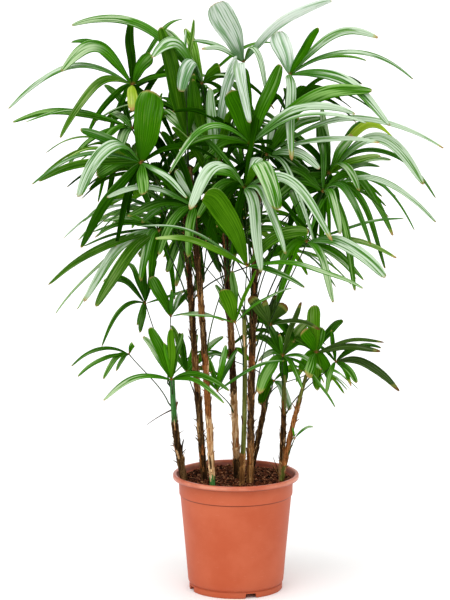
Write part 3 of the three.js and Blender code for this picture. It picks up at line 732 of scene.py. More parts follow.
# Each row: name, cane, height on the cane, hub, tone, fingers. A finger:
# bearing of its tip in the XZ plane, reach, how far forward, arch, width (mm),
# and its own tone if it has one.
FRONDS = [
    ["frond_crown_top", 4, 960, [17, -20, 1215], "pale", [
        [-51, 80, 60, 0.8, 18], [35, 240, 20, 0.12, 28, "silver"], [39, 70, -90, 0.1, 12, "mid"],
        [115, 152, 110, 0.05, 60, "silver"], [158, 125, -40, 0.1, 18], [162, 100, 30, 0.15, 15]]],
    ["frond_crown_right", 6, 930, [119, -60, 1190], "pale", [
        [-89, 188, 60, 0.3, 30], [-26, 244, 90, 0.2, 32], [-2, 275, 20, 0.22, 18],
        [8, 178, -90, 0.15, 15], [23, 212, 30, 0.22, 24], [60, 125, 60, 0.05, 24, "mid"],
        [108, 98, -50, 0.1, 46, "silver"]]],
    ["frond_crown_left", 4, 930, [-77, 10, 1165], "mid", [
        [20, 62, 80, 0.2, 8], [42, 58, 60, 0.1, 34, "fresh"], [110, 120, -190, 0.1, 30],
        [130, 150, -160, 0.1, 30], [152, 126, 60, 0.5, 36, "pale"], [156, 320, 10, 0.21, 26],
        [199, 52, 70, 1.2, 34, "silver"]]],
    ["frond_upper_left", 3, 930, [-235, 40, 1160], "mid", [
        [56, 80, -30, 0.15, 34, "deep"], [95, 140, -200, 0.1, 28, "shade"], [150, 170, -170, 0.2, 26],
        [169, 162, 30, 0.44, 36], [191, 286, 10, 0.24, 25, "pale"], [216, 200, 60, 0.3, 26, "fresh"],
        [273, 60, 40, 0.2, 26, "lime"]]],
    ["frond_left_broad", 2, 740, [-210, -160, 1005], "deep", [
        [81, 165, 40, 0.03, 72, "deep"], [150, 152, 40, 0.1, 30, "mid"],
        [190, 240, 60, 0.18, 17, "pale"], [191, 232, -20, 0.1, 25, "fresh"], [200, 110, -70, 0.15, 44],
        [207, 150, 100, 0.52, 38, "pale"], [235, 235, -10, 0.08, 30], [276, 70, 40, 0.1, 28],
        [325, 126, 60, 0.1, 18, "pale"]]],
    ["frond_left_thin", 2, 800, [-236, 40, 1060], "deep", [
        [130, 110, -190, 0.2, 22], [150, 65, -60, 0.2, 22], [175, 238, 60, 0.14, 12],
        [177, 272, 0, 0.12, 22], [196, 60, 60, 0.3, 28], [211, 176, 30, 0.2, 16],
        [235, 45, 60, 0.4, 26]]],
    ["frond_tall_left", 2, 925, [-108, -10, 1045], "mid", [
        [30, 100, -120, 0.2, 24], [70, 120, -90, 0.1, 24], [85, 148, 30, 0.02, 26, "deep"],
        [92, 178, -30, 0.02, 16], [104, 258, 20, 0.03, 44, "fresh"], [136, 80, -70, 0.1, 26]]],
    ["frond_spear", 3, 978, [-113, -25, 1180], "fresh", [
        [82, 128, 5, 0.02, 15], [90, 108, -8, 0.02, 10]]],
    ["frond_upright_middle", 4, 860, [-50, -40, 940], "fresh", [
        [62, 170, 120, 1.2, 38, "silver"], [76, 178, 60, 0.2, 24], [83, 230, -60, 0.05, 26, "mid"],
        [92, 225, 44, 0.04, 34], [101, 245, 0, 0.03, 30], [112, 190, -40, 0.05, 26, "mid"],
        [125, 165, 20, 0.1, 24]]],
    ["frond_middle_dark", 6, 860, [31, -100, 1040], "deep", [
        [12, 259, 90, 0.17, 14, "pale"], [17, 241, 60, 0.2, 24, "pale"], [24, 295, 20, 0.14, 42],
        [69, 190, 0, 0.05, 38], [97, 160, 80, 0.3, 36], [110, 130, 40, 0.05, 46],
        [184, 158, 30, 0.14, 14], [199, 190, 50, 0.38, 22, "mid"]]],
    ["frond_right_arching", 6, 830, [68, -50, 1010], "pale", [
        [-62, 238, 50, 0.25, 16], [-12, 120, 70, 0.2, 26], [2, 398, 0, 0.19, 21],
        [9, 250, 120, 0.1, 27], [28, 150, -60, 0.15, 26, "mid"], [52, 115, 30, 0.1, 28, "deep"],
        [75, 80, -30, 0.1, 22]]],
    ["frond_front_drooping", 4, 760, [19, -170, 950], "pale", [
        [165, 90, -40, 0.3, 30], [197, 126, 100, 0.6, 36], [281, 185, 60, 0.3, 33],
        [303, 163, 90, 0.35, 30], [330, 219, 80, 0.34, 30, "pale"], [332, 80, 110, 1, 50, "mid"],
        [420, 70, -50, 0.3, 30]]],
    ["frond_right_dark", 6, 620, [209, -20, 965], "mid", [
        [-25, 72, 90, 0.6, 26], [-14, 252, -30, 0.33, 14], [-6, 213, 40, 0.44, 40, "pale"],
        [13, 144, 20, 0.12, 24], [22, 122, 60, 0.1, 20], [23, 168, -60, 0.42, 26, "lime"],
        [60, 104, 30, 0.1, 26], [101, 110, -40, 0.05, 30, "deep"], [194, 98, 20, 0.05, 26, "deep"]]],
    ["frond_right_comb", 6, 580, [194, -70, 930], "mid", [
        [-72, 226, 80, 0.32, 27, "deep"], [-68, 98, 60, 0.4, 24], [-51, 222, 30, 0.4, 20, "deep"],
        [-47, 153, 70, 0.42, 26], [-34, 194, -40, 0.42, 26, "deep"], [-25, 234, -70, 0.36, 13],
        [-15, 262, 20, 0.24, 26, "pale"]]],
    ["frond_right_low", 6, 540, [158, -100, 820], "mid", [
        [-66, 140, 70, 0.3, 24], [-34, 154, 10, 0.14, 16, "deep"], [-21, 182, 110, 0.21, 40, "pale"],
        [-10, 205, -30, 0.12, 22], [15, 222, 30, 0.05, 9]]],
    ["frond_front_bright", 5, 650, [23, -190, 780], "fresh", [
        [-22, 140, -20, 0.1, 20, "mid"], [-10, 260, 40, 0.1, 15, "mid"], [30, 158, 40, 0.19, 34],
        [120, 190, 90, 0.22, 56], [160, 258, 0, 0.12, 10], [161, 212, 60, 0.1, 20]]],
    ["frond_left_low", 2, 680, [-174, -60, 840], "mid", [
        [176, 130, -90, 0.15, 24], [205, 272, 60, 0.11, 34, "fresh"], [219, 302, 0, 0.12, 9],
        [223, 228, 50, 0.2, 30, "pale"], [225, 266, -50, 0.15, 14], [229, 212, 90, 0.14, 36, "fresh"],
        [250, 120, 30, 0.3, 26]]],
    ["frond_left_pale", 3, 820, [-92, -110, 900], "pale", [
        [120, 90, -40, 0.1, 26], [171, 196, 70, 0.18, 30], [186, 150, 10, 0.15, 32],
        [200, 130, -60, 0.2, 30, "mid"], [232, 130, 60, 0.3, 26, "deep"],
        [262, 110, 50, 0.3, 26, "deep"]]],
    ["frond_left_dark", 2, 700, [-104, 30, 830], "deep", [
        [80, 90, -60, 0.1, 30], [120, 110, -100, 0.1, 30], [170, 200, 10, 0.08, 15],
        [176, 178, -50, 0.08, 14], [182, 225, -20, 0.1, 14], [188, 245, 30, 0.08, 10],
        [205, 130, 60, 0.15, 26], [240, 110, 40, 0.2, 26]]],
    ["frond_low_left", 1, 478, [-208, 60, 655], "deep", [
        [18, 142, 40, 0.03, 11], [75, 95, -60, 0.1, 14], [92, 157, 10, 0.02, 19],
        [120, 90, -110, 0.2, 18], [152, 110, 10, 0.27, 21], [224, 140, 30, 0.3, 14]]],
    ["frond_low_upright", 1, 486, [-148, -30, 640], "fresh", [
        [-2, 122, 30, 0.12, 10, "mid"], [40, 90, -60, 0.2, 16], [65, 62, -20, 0.05, 13],
        [88, 66, 20, 0.05, 13], [116, 104, 10, 0.06, 30, "deep"]]],
    ["frond_low_outer", 1, 440, [-243, -40, 555], "deep", [
        [68, 28, 10, 0.2, 14], [192, 135, 10, 0.22, 17], [200, 122, 60, 0.15, 15],
        [223, 80, 30, 0.25, 15], [229, 42, 50, 0.3, 14]]],
    ["frond_low_front", 1, 470, [-146, -85, 505], "deep", [
        [-20, 128, 60, 0.18, 15], [-10, 134, 20, 0.18, 18], [90, 123, 30, 0.03, 23, "fresh"],
        [112, 132, 10, 0.05, 30, "deep"], [194, 157, 60, 0.2, 24]]],
    ["frond_low_inner", 2, 440, [-112, 20, 500], "mid", [
        [20, 90, -60, 0.2, 14], [47, 124, 30, 0.08, 18], [75, 96, 10, 0.05, 15],
        [110, 110, -50, 0.1, 18]]],
    ["frond_small_middle", 5, 540, [-2, -115, 640], "fresh", [
        [34, 152, 40, 0.1, 9, "mid"], [70, 135, 20, 0.04, 11], [108, 86, 30, 0.06, 36],
        [130, 60, -40, 0.1, 16], [171, 125, 10, 0.06, 9, "mid"]]],
    ["frond_small_inner", 4, 420, [-42, -70, 475], "mid", [
        [28, 170, 50, 0.1, 12], [80, 111, 10, 0.05, 18], [140, 70, 20, 0.15, 12]]],
    ["frond_small_brown", 6, 470, [77, -60, 625], "olive", [
        [-3, 113, 30, 0.16, 20], [52, 62, 20, 0.1, 30], [103, 66, 10, 0.03, 17],
        [125, 84, 20, 0.05, 27]]],
    ["frond_stub_left", 8, 490, [106, -35, 550], "deep", [
        [-125, 96, 60, 0.22, 30, "deep"], [-58, 84, 40, 0.2, 15], [-43, 163, 50, 0.16, 11],
        [-16, 92, 40, 0.18, 18], [72, 135, 20, 0.04, 18, "olive"], [98, 52, 0, 0.02, 12]]],
    ["frond_stub_right", 9, 500, [182, -45, 560], "deep", [
        [-113, 52, 40, 0.1, 26], [2, 146, 20, 0.08, 20, "olive"], [7, 157, -20, 0.1, 13, "olive"],
        [78, 58, -20, 0.05, 28, "deep"], [94, 113, 10, 0.04, 34, "fresh"], [119, 66, 30, 0.06, 30]]],
    ["frond_low_right", 8, 420, [227, -30, 535], "deep", [
        [-107, 76, 20, 0.2, 15], [-41, 62, 50, 0.2, 18], [-24, 158, 30, 0.2, 27, "olive"],
        [30, 60, -60, 0.1, 14], [98, 78, 10, 0.03, 14]]],
    ["frond_tiny", 9, 330, [133, -66, 365], "mid", [
        [33, 52, 10, 0.2, 8], [100, 28, 0, 0.05, 6]]],
    ["frond_back_low", 7, 410, [88, 55, 475], "fresh", [
        [-114, 76, -46, 0.24, 26], [-60, 74, 40, 0.24, 22], [10, 70, -50, 0.2, 12]]],
]
# Smaller fingers that fill a frond from behind, written as above.
FILLERS = {
    "frond_left_dark": [
        [256, 135, 20, 0.1, 22, "deep"], [284, 125, 30, 0.15, 24, "shade"],
        [305, 120, 20, 0.2, 22, "deep"]],
    "frond_left_pale": [
        [300, 105, 20, 0.2, 24, "shade"], [335, 120, 10, 0.25, 22, "shade"],
        [355, 110, -20, 0.3, 22, "shade"]],
    "frond_front_drooping": [
        [235, 150, -10, 0.35, 24, "shade"], [262, 165, -30, 0.3, 24, "shade"],
        [215, 130, -40, 0.3, 26, "deep"]],
    "frond_right_comb": [
        [200, 130, -40, 0.3, 24, "deep"], [235, 150, -40, 0.35, 24, "shade"],
        [160, 120, -60, 0.2, 24, "deep"], [20, 140, -70, 0.2, 22, "mid"],
        [262, 140, -30, 0.3, 22, "shade"]],
    "frond_right_dark": [
        [40, 150, -80, 0.3, 26, "deep"], [140, 110, -60, 0.2, 26, "shade"],
        [225, 90, -40, 0.3, 24, "shade"]],
    "frond_right_low": [
        [190, 110, -40, 0.3, 22, "deep"], [230, 100, -40, 0.3, 22, "deep"]],
    "frond_stub_left": [
        [50, 96, -50, 0.1, 24, "fresh"], [118, 84, -50, 0.1, 24, "deep"],
        [150, 76, -40, 0.2, 22, "deep"], [20, 84, -50, 0.25, 26, "deep"],
        [200, 60, -30, 0.3, 20, "mid"], [-85, 70, -30, 0.2, 22, "deep"]],
    "frond_stub_right": [
        [-88, 96, -20, 0.12, 26, "fresh"], [-66, 84, -30, 0.2, 24, "deep"],
        [150, 76, -50, 0.1, 24, "fresh"], [172, 64, -50, 0.25, 22, "deep"],
        [45, 90, -60, 0.15, 22, "deep"], [-125, 66, -40, 0.2, 22, "mid"]],
    "frond_small_brown": [
        [76, 64, -50, 0.1, 20, "olive"], [-40, 76, -40, 0.3, 22, "deep"],
        [200, 66, -40, 0.3, 20, "deep"], [158, 74, -30, 0.1, 18, "deep"]],
    "frond_low_right": [
        [12, 110, -50, 0.2, 16, "deep"], [150, 66, -50, 0.2, 14, "deep"],
        [-60, 76, -40, 0.2, 14, "deep"]],
    "frond_low_inner": [
        [140, 92, -60, 0.15, 16, "deep"], [-12, 80, -40, 0.2, 14, "deep"],
        [100, 100, 20, 0.05, 16, "deep"]],
    "frond_low_front": [
        [76, 104, -40, 0.08, 18, "deep"], [126, 112, -50, 0.1, 20, "mid"],
        [100, 90, 20, 0.05, 14, "mid"]],
    "frond_small_middle": [
        [94, 112, -50, 0.1, 22, "deep"], [120, 90, -60, 0.1, 18, "mid"]],
    "frond_small_inner": [
        [110, 86, -40, 0.1, 16, "deep"], [62, 100, -50, 0.1, 16, "mid"]],
    "frond_low_left": [
        [-100, 70, 10, 0.1, 16, "deep"], [250, 60, -20, 0.2, 14, "deep"]],
    "frond_left_low": [
        [262, 140, -40, 0.2, 24, "deep"], [190, 150, -70, 0.2, 24, "deep"]],
}
# A tone's colours: the dark of its blades, also painted as shade in the pleat valleys; blade; underside;
# painted sheen where a blade faces the lights.
TONE_COLOURS = {
    "deep": ((24, 70, 0), (66, 132, 8), (80, 136, 10), (142, 190, 98)),
    "mid": ((36, 94, 0), (78, 150, 8), (106, 164, 28), (192, 220, 166)),
    "fresh": ((34, 84, 0), (92, 148, 22), (120, 164, 44), (182, 212, 126)),
    # pale and silver: lighter copies of the green that stand in for sheen, painted on the whole blade.
    "pale": ((44, 104, 12), (98, 156, 52), (146, 192, 104), (210, 232, 200)),
    "silver": ((78, 130, 66), (150, 190, 142), (172, 206, 150), (232, 244, 230)),
    "olive": ((34, 60, 8), (80, 112, 42), (96, 118, 58), (150, 168, 124)),
    "lime": ((130, 168, 26), (176, 204, 58), (190, 206, 96), (212, 224, 130)),
    # shade: a darker copy of the green, painted shade for fingers deep in the crown.
    "shade": ((11, 40, 0), (32, 80, 0), (50, 96, 6), (66, 112, 24)),
}
TONES = list(TONE_COLOURS)
NEAR_TONES = TONES[:4]
OFF_TONE = 0.16
# How much painted sheen a tone has, over which part of the blade it sets in, and the least of it on a face
# that looks away from the sky;
# last, the ways towards the two lights that a face looks along to catch it.
PAINTED_SHEEN = {
    "deep": 0.6, "mid": 0.95, "fresh": 0.5, "pale": 1.15,
    "silver": 1.2, "olive": 0.4, "lime": 0.3, "shade": 0.2,
}
PAINTED_SHEEN_FROM = {"silver": (0.05, 0.4), "pale": (0.12, 0.6)}
PAINTED_SHEEN_LEAST = {"silver": 0.75, "pale": 0.12}
SHEEN_LIGHT_WAYS = [(-0.16, -0.62, 0.77), (0.16, 0.62, 0.77)]
AGED_LEAST = {"olive": 0.8}
DRY = {"yellow": (186, 176, 84), "tan": (190, 150, 96), "brown": (112, 74, 40), "heart": (128, 92, 40)}
STALK_COLOURS = {
    "stalk_green": ((18, 36, 4), (48, 78, 16)),
    "hub_brown": ((92, 60, 26), (156, 116, 58)),
}
FROND_SEED = 300
STALK_SLOT, HUB_SLOT = len(TONES), len(TONES) + 1
STALK_SIDES = 9
STALK_STEPS = 26
STALK_OFF = 2.0
STALK_RADII = ((0, 0.1, 0.25, 0.9, 0.985, 1), (2.8, 2.3, 1.8, 1.45, 1.6, 1.9))
HUB_RADII = (0.3, 2.2, 3.0, 3.1, 2.6, 1.6, 0.2)
HUB_ENDS = (-3.2, 4.2)
CLASP = 14
# A solid's stalk or finger may be moved aside by one of these (mm); a corner
# of the solid this near says which.
SHIFTS = (0, 12, -12, 24, -24, 38, -38, 54, -54, 75, -75, 100, -100)
NEAR_TIP = 1.7
NEAR_STALK = 2.2
FRONT = np.array([0.0, -1.0, 0.0])
LEVEL_FACE = (0.3, -0.65, 0.7)
STEEP_FACE = (0.1, -1, 0.2)
BLADE_ROWS = 32
BLADE_THICK = 0.5
BLADE_ROLL = 22
PLEAT = 6.2
# Width along a finger, from hub to tip, for a slender one and a blunt one.
SHARES = (0, 0.04, 0.12, 0.25, 0.42, 0.62, 0.8, 0.92, 0.975, 1)
SLENDER = (0.1, 0.26, 0.52, 0.78, 0.9, 0.88, 0.74, 0.54, 0.4, 0.27)
BLUNT = (0.1, 0.22, 0.42, 0.64, 0.83, 0.95, 0.96, 0.86, 0.74, 0.58)
# The pleat lines are numbered in the blade map, from this on below.
UNDERSIDE = 100
# Short canes and low hubs carry slighter stalks.
SHORT_CANES = (1, 5, 7, 8, 9)
LOW_HUB = 700
SMALL_STALK = 0.8
# Fingers at the back of a frond reach in over the clump, to one of two points in its middle plane.
# Their tones are painted light and shade: lighter high up, where the crown is airy, and on its right side;
# darker copies, painted shade, low in the middle.
INNER_FINGERS = 7
INNER_FAN = 170
INNER_HUBS = (760, 1180)
INNER_REACH = (120, 210)
INNER_BACK = (60, 170)
INNER_LIFT = (0.2, 0.5)
INNER_WIDTH = (14, 25)
CLUMP = ((-10, 960), (-10, 770))
AIRY_ABOVE = 1080
AIRY_BESIDE = 100
AIRY_BRIGHT, DENSE_BRIGHT = 0.85, 0.4
OPEN_FRONDS = ("frond_spear", "frond_front_bright")


def between(ends, share):
    return ends[0] + (ends[1] - ends[0]) * share


def unit(vector):
    return vector / np.linalg.norm(vector)


def turn_about(vector, axis, angle):
    """A vector turned about a unit axis."""
    spun = vector * np.cos(angle) + np.cross(axis, vector) * np.sin(angle)
    return spun + axis * np.dot(axis, vector) * (1 - np.cos(angle))


def node_points(name):
    """The corners of one solid, in mm."""
    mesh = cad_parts[name].data
    points = np.empty(len(mesh.vertices) * 3)
    mesh.vertices.foreach_get("co", points)
    return points.reshape(-1, 3) / MM


def nearest(points, place):
    return np.min(np.linalg.norm(points - place, axis=1))


def find_shift(points, tip):
    """How far a solid's finger was moved aside to clear its neighbours."""
    return next((shift for shift in SHIFTS if nearest(points, tip + FRONT * shift) < NEAR_TIP), 0)


def add_blade(pile, hub, tip, lift, width, facing, place, tone, rng):
    """One finger: a pleated strip along an arch, thin but closed."""
    # How the strip lies: level across its chord, and rolled a little about it.
    chord = unit(tip - hub)
    level = np.cross(facing, chord)
    if np.linalg.norm(level) < 0.5:
        level = np.cross(FRONT, chord)
    roll = BLADE_ROLL * (2 * ((0.3 + place * GOLDEN) % 1) - 1)
    level = turn_about(level, chord, math.radians(roll))
    # Its length along the arch and its half width at each row.
    reach = np.linalg.norm(tip - hub)
    length = reach * (1 + 2.6 * (0.5 * lift / reach) ** 2)
    t = 1 - (1 - np.linspace(0, 1, BLADE_ROWS)) ** 1.2
    blunt = np.clip((width / reach - 0.12) / 0.2, 0, 1)
    width = width * (0.86 + 0.14 * blunt)
    half = 0.5 * width * ((1 - blunt) * np.interp(t, SHARES, SLENDER) + blunt * np.interp(t, SHARES, BLUNT))
    # Ridges and valleys side by side, each cut back to a tooth at the tip.
    ribs = max(2, int(round(width / PLEAT)))
    columns = 2 * ribs + 1
    u = np.linspace(-1, 1, columns)
    ridge = np.arange(columns) % 2
    slant = 0.5 * (rng.random() - 0.5)
    teeth = 1.2 * rng.random(columns) + np.where(ridge == 1, 0.0, 1.3 + 0.03 * width)
    back = half[-1] * ((0.85 - 0.4 * blunt) * u ** 2 + slant * u + abs(slant)) + teeth
    # The arch, with the ways across and up from it at every corner.
    crest = (hub + tip) / 2 + UP * lift
    s = (t[:, None] * (1 - back / length))[..., None]
    curve = (1 - s) ** 2 * hub + 2 * s * (1 - s) * crest + s ** 2 * tip
    along = 2 * (1 - s) * (crest - hub) + 2 * s * (tip - crest)
    along /= np.linalg.norm(along, axis=-1)[..., None]
    across = level - (along @ level)[..., None] * along
    across /= np.linalg.norm(across, axis=-1)[..., None]
    up = np.cross(along, across)
    twist = ((rng.random() - 0.5) * 0.8 * (t - 0.4))[:, None, None]
    across, up = across * np.cos(twist) + up * np.sin(twist), up * np.cos(twist) - across * np.sin(twist)
    # A sideways wave, pleats, a fold that opens from the hub on, and a flutter.
    waves = t * (0.8 + 0.5 * rng.random()) + rng.random()
    wave = 0.012 * length * np.sin(2 * np.pi * waves) * 4 * t * (1 - t)
    fold = np.interp(t, [0, 0.12, 0.4, 1], [0.9, 0.5, 0.14, 0.05 + 0.25 * rng.random()])
    flutter = 0.06 * half * np.sin(9 * t + 6 * rng.random())
    depth = 0.3 * (half / ribs)[:, None] * (2 * ridge - 1)
    depth = depth - (fold * half)[:, None] * np.abs(u) ** 1.6 + flutter[:, None] * u
    top = curve + across * (half[:, None] * u + wave[:, None])[..., None] + up * depth[..., None]
    low = top - up * (BLADE_THICK * np.minimum(1, half / 2))[:, None, None]
    # The maps: pleat line and metres from the hub; metres to the tip and a number of its own.
    run = np.broadcast_to(t[:, None] * length * MM, depth.shape)
    left = np.broadcast_to((1 - t)[:, None] * length * MM, depth.shape)
    lines = np.broadcast_to(np.arange(columns, dtype=float), depth.shape)
    blade = [np.stack([lines, run], axis=-1), np.stack([lines + UNDERSIDE, run], axis=-1)]
    leaf = [np.stack([left, np.full(depth.shape, rng.random())], axis=-1)] * 2
    points, blade, leaf = (np.concatenate([upper, lower[:, ::-1]], axis=1)
                           for upper, lower in ((top, low), blade, leaf))
    pile.sheet(points * MM, TONES.index(tone), around=True, caps=True, blade=blade, leaf=leaf)


def stalk_curve(number, height, hub, shift, steps):
    """The stalk's middle line from beside its cane to its hub."""
    start = cane_axis(number, height)
    start = start + unit((hub - start) * [1, 1, 0]) * (CANES[number]["radius"] + STALK_OFF)
    length = np.linalg.norm(hub - start)
    heading = (hub - start) / length
    sideways = np.array([shift * 0.35, shift, 0.0])
    first = start + unit(heading + 0.8 * UP) * 0.3 * length + sideways
    second = hub - heading * 0.35 * length + sideways
    t = np.linspace(0, 1, steps)[:, None]
    return (1 - t) ** 3 * start + 3 * t * (1 - t) ** 2 * first + 3 * t ** 2 * (1 - t) * second + t ** 3 * hub


def stalk_shift(points, number, height, hub):
    """How far aside a solid's stalk was swung, from where its corners lie."""
    found = []
    for shift in SHIFTS:
        for steps in (3, 4):
            middle = stalk_curve(number, height, hub, shift, steps)[1]
            found.append((abs(nearest(points, middle) - NEAR_STALK), abs(shift), shift))
    return min(found)[-1]


def add_stalk(pile, points, number, height, hub, size):
    """The stalk, from where it clasps its cane, and the hub at its end."""
    line = stalk_curve(number, height, hub, stalk_shift(points, number, height, hub), STALK_STEPS)
    root = cane_axis(number, height - CLASP)
    clasp = root + (line[0] - root) * np.linspace(0.15, 0.9, 5)[:, None]
    line = np.concatenate([clasp, line])
    radii = size * np.interp(np.linspace(0, 1, len(line)), *STALK_RADII)
    add_tube(pile, line, radii, STALK_SIDES, STALK_SLOT)
    toward = unit(line[-1] - line[-3])
    knob = line[-1] + toward * np.linspace(*HUB_ENDS, len(HUB_RADII))[:, None] * size
    add_tube(pile, knob, size * np.array(HUB_RADII), STALK_SIDES, HUB_SLOT)


def leaf_look(tone):
    """Pleated green, with painted shade in the pleat valleys and a painted silvery sheen towards the tip on
    faces that look up towards the lights, and painted highlights along lit ridges and one margin; the tip
    dries, old fingers yellow, and the heart at the hub is brown."""
    dark, light, under, sheen_colour = (paint(*colour) for colour in TONE_COLOURS[tone])
    yellow, tan, brown, heart = (paint(*colour) for colour in DRY.values())
    look = Look(f"leaf_{tone}")
    place = look.place()
    blade, leaf = look.map("Blade"), look.map("Leaf")
    code, from_hub = look.split(blade, 0), look.split(blade, 1)
    to_tip, seed = look.split(leaf, 0), look.split(leaf, 1)
    below = code > UNDERSIDE - 10
    line = code - below * UNDERSIDE
    ridge = line.fold(1.0)
    outer = from_hub / (from_hub + to_tip)
    broad = look.noise(place, 14.0, 2.0)
    spots = look.noise(place, 130.0, 3.0, 0.7)
    grain_way = look.join(line * 1.7 + seed * 97.0, from_hub * 5.0, seed)
    veins = look.noise(grain_way, 1.0, 3.0, 0.7)
    fine = look.noise(grain_way, 3.1, 2.0, 0.6)
    strokes = look.noise(look.join(line * 0.6 + seed * 53.0, from_hub * 8.0, seed * 31.0), 1.0, 1.0)

    tint = (broad * 0.25 + veins * 0.9 + seed * 0.2).step(0.52, 0.8)
    colour = look.blend(tint, dark, light)
    colour = look.blend(below * (0.55 + 0.3 * veins), colour, under)

    # Painted sheen: a lighter colour where the face looks towards the lights, more towards the tip.
    facing, behind = (look.facing(way) for way in SHEEN_LIGHT_WAYS)
    least = PAINTED_SHEEN_LEAST.get(tone, 0.0)
    lit = facing.math("MAXIMUM", behind).step(0.25, 0.9) * (1 - least) + least
    painted_sheen = lit * (0.1 + 0.9 * outer.step(*PAINTED_SHEEN_FROM.get(tone, (0.25, 0.75)))) * (0.3 + 0.95 * seed)
    painted_sheen = painted_sheen * PAINTED_SHEEN[tone] * (1 - 0.45 * below) * (0.2 + 1.2 * strokes.step(0.4, 0.56))
    painted_sheen = painted_sheen.step(0.1, 0.85)
    colour = look.blend(painted_sheen, colour, sheen_colour)
    colour = look.blend(outer.step(0.42, 0.05) * 0.4, colour, dark)

    pleated = (seed * 7.3).fold(1.0)
    # Painted shade in the pleat valleys.
    valleys = (1 - ridge) ** 2 * (0.4 + 0.6 * veins.step(0.3, 0.65)) * (0.35 + 0.75 * pleated)
    colour = look.blend(valleys * (1 - 0.3 * painted_sheen), colour, dark)
    # Painted highlights along the lit ridges and along one margin.
    colour = look.blend(fine.step(0.48, 0.66) * (0.2 + 0.4 * pleated) * ridge * lit, colour, sheen_colour)
    colour = look.blend((line < 0.3) * lit * 0.7 * (1 - below), colour, sheen_colour)

    old = AGED_LEAST.get(tone, 0.0)
    aged = (seed - 0.82).step(0.0, 0.18) * (1 - old) + old
    edge = spots * 0.0016 + aged * (0.009 + 0.008 * old)
    yellowed = (to_tip - edge).step(0.005, 0.001)
    dried = (to_tip - edge * 0.6).step(0.0012, 0.0)
    marks = fine.step(0.66, 0.72) * (seed > 0.7) * broad.step(0.5, 0.6)
    specks = look.cells(place, 70.0).step(0.07, 0.03) * (seed > 0.75)
    colour = look.blend(yellowed * (0.25 + 0.4 * aged) * (1 - 0.6 * old), colour, yellow)
    colour = look.blend(dried * 0.85, colour, brown if old else tan)
    colour = look.blend(marks * 0.55, colour, yellow)
    colour = look.blend(specks * 0.7, colour, brown)
    colour = look.blend((from_hub + spots * 0.004).step(0.010, 0.003) * 0.8, colour, heart)

    roughness = 0.38 + fine * 0.2 + below * 0.15 + dried * 0.35
    return look.finish(colour, roughness, fine * 0.6 + veins * 0.4, 0.0004, through=light, share=0.16,
                       Specular_IOR_Level=0.0, Coat_Weight=painted_sheen * 0.2, Coat_Roughness=0.35)


def stalk_look(name, roughness):
    dark, light = (paint(*colour) for colour in STALK_COLOURS[name])
    look = Look(name)
    streak = look.noise(look.stretch(look.place(), (300.0, 300.0, 60.0)), 1.0, 3.0)
    colour = look.blend(streak.step(0.35, 0.7), dark, light)
    return look.finish(colour, roughness, streak, 0.0003, Specular_IOR_Level=0.1)


FROND_LOOKS = [leaf_look(tone) for tone in TONES]
FROND_LOOKS += [stalk_look("stalk_green", 0.45), stalk_look("hub_brown", 0.7)]


def face_of(hub, tip):
    """Level fingers face upward and steep ones outward."""
    side = np.array([np.sign(hub[0]), 1, 1])
    level, steep = unit(LEVEL_FACE * side), unit(STEEP_FACE * side)
    return unit(level + (steep - level) * abs(unit(tip - hub)[2]))


def near_tone(tone, rng):
    """Most fingers keep their frond's tone; a few are a shade off."""
    if rng.random() < OFF_TONE and tone in NEAR_TONES:
        return NEAR_TONES[(NEAR_TONES.index(tone) + 1) % len(NEAR_TONES)]
    return tone


def add_inner_fingers(pile, hub, rng):
    """The fingers at the back of a frond, which reach in over the clump."""
    # Lighter and darker copies of the green, painted light and shade by where the hub sits in the crown.
    bright, dull = ("mid", "deep") if hub[0] > AIRY_BESIDE else ("deep", "shade")
    for k in range(INNER_FINGERS):
        middle, level = CLUMP[k % 2]
        turn = math.atan2(level - hub[2], middle - hub[0])
        turn += math.radians(INNER_FAN) * (k / (INNER_FINGERS - 1) - 0.5) + 0.3 * (rng.random() - 0.5)
        reach = between(INNER_REACH, rng.random())
        back = between(INNER_BACK, rng.random())
        tip = hub + np.array([reach * math.cos(turn), back, reach * math.sin(turn)])
        lift = reach * between(INNER_LIFT, rng.random())
        width = between(INNER_WIDTH, rng.random())
        tone = bright if rng.random() < (AIRY_BRIGHT if hub[2] > AIRY_ABOVE else DENSE_BRIGHT) else dull
        add_blade(pile, hub, tip, lift, width, face_of(hub, tip), k, tone, rng)


def make_front_frond(order, name, number, height, hub, tone, fingers):
    rng = np.random.default_rng(FROND_SEED + order)
    hub = np.array(hub, dtype=float)
    points = node_points(name)
    pile = Pile()
    small = number in SHORT_CANES or hub[2] < LOW_HUB
    add_stalk(pile, points, number, height, hub, SMALL_STALK if small else 1.0)
    for rows, in_solid in ((fingers, True), (FILLERS.get(name, []), False)):
        for place, (bearing, reach, forward, arch, width, *own) in enumerate(rows):
            turn = math.radians(bearing)
            tip = hub + np.array([reach * math.cos(turn), -forward, reach * math.sin(turn)])
            if in_solid:
                tip = tip + FRONT * find_shift(points, tip)
            finger_tone = own[0] if own else near_tone(tone, rng)
            lift = 2 * arch * reach
            add_blade(pile, hub, tip, lift, width, face_of(hub, tip), place, finger_tone, rng)
    if INNER_HUBS[0] < hub[2] < INNER_HUBS[1] and name not in OPEN_FRONDS:
        add_inner_fingers(pile, hub, rng)
    pile.piece(f"{name}_leaf", FROND_LOOKS, name, "frond")


for order, row in enumerate(FRONDS):
    make_front_frond(order, *row)

# ---- fronds behind -----------------------------------------------------------
# The same fronds on the far side of the clump. They turn about it by golden
# steps from low to high, and the higher ones rise more steeply. The lowest
# few are small and stand on the short cane at the back.
BEHIND = 17
BEHIND_SEED = 600
BEHIND_LOW = 3
LOW_CANE = 7
LOW_SCALE = 0.62
LOW_HEIGHT = 430
LOW_STEP = 35
BEHIND_CANES = (6, 3, 4, 2)
BEHIND_TONES = ("mid", "deep", "shade", "mid", "fresh", "deep", "pale")
BEHIND_TURN = (18, 162)
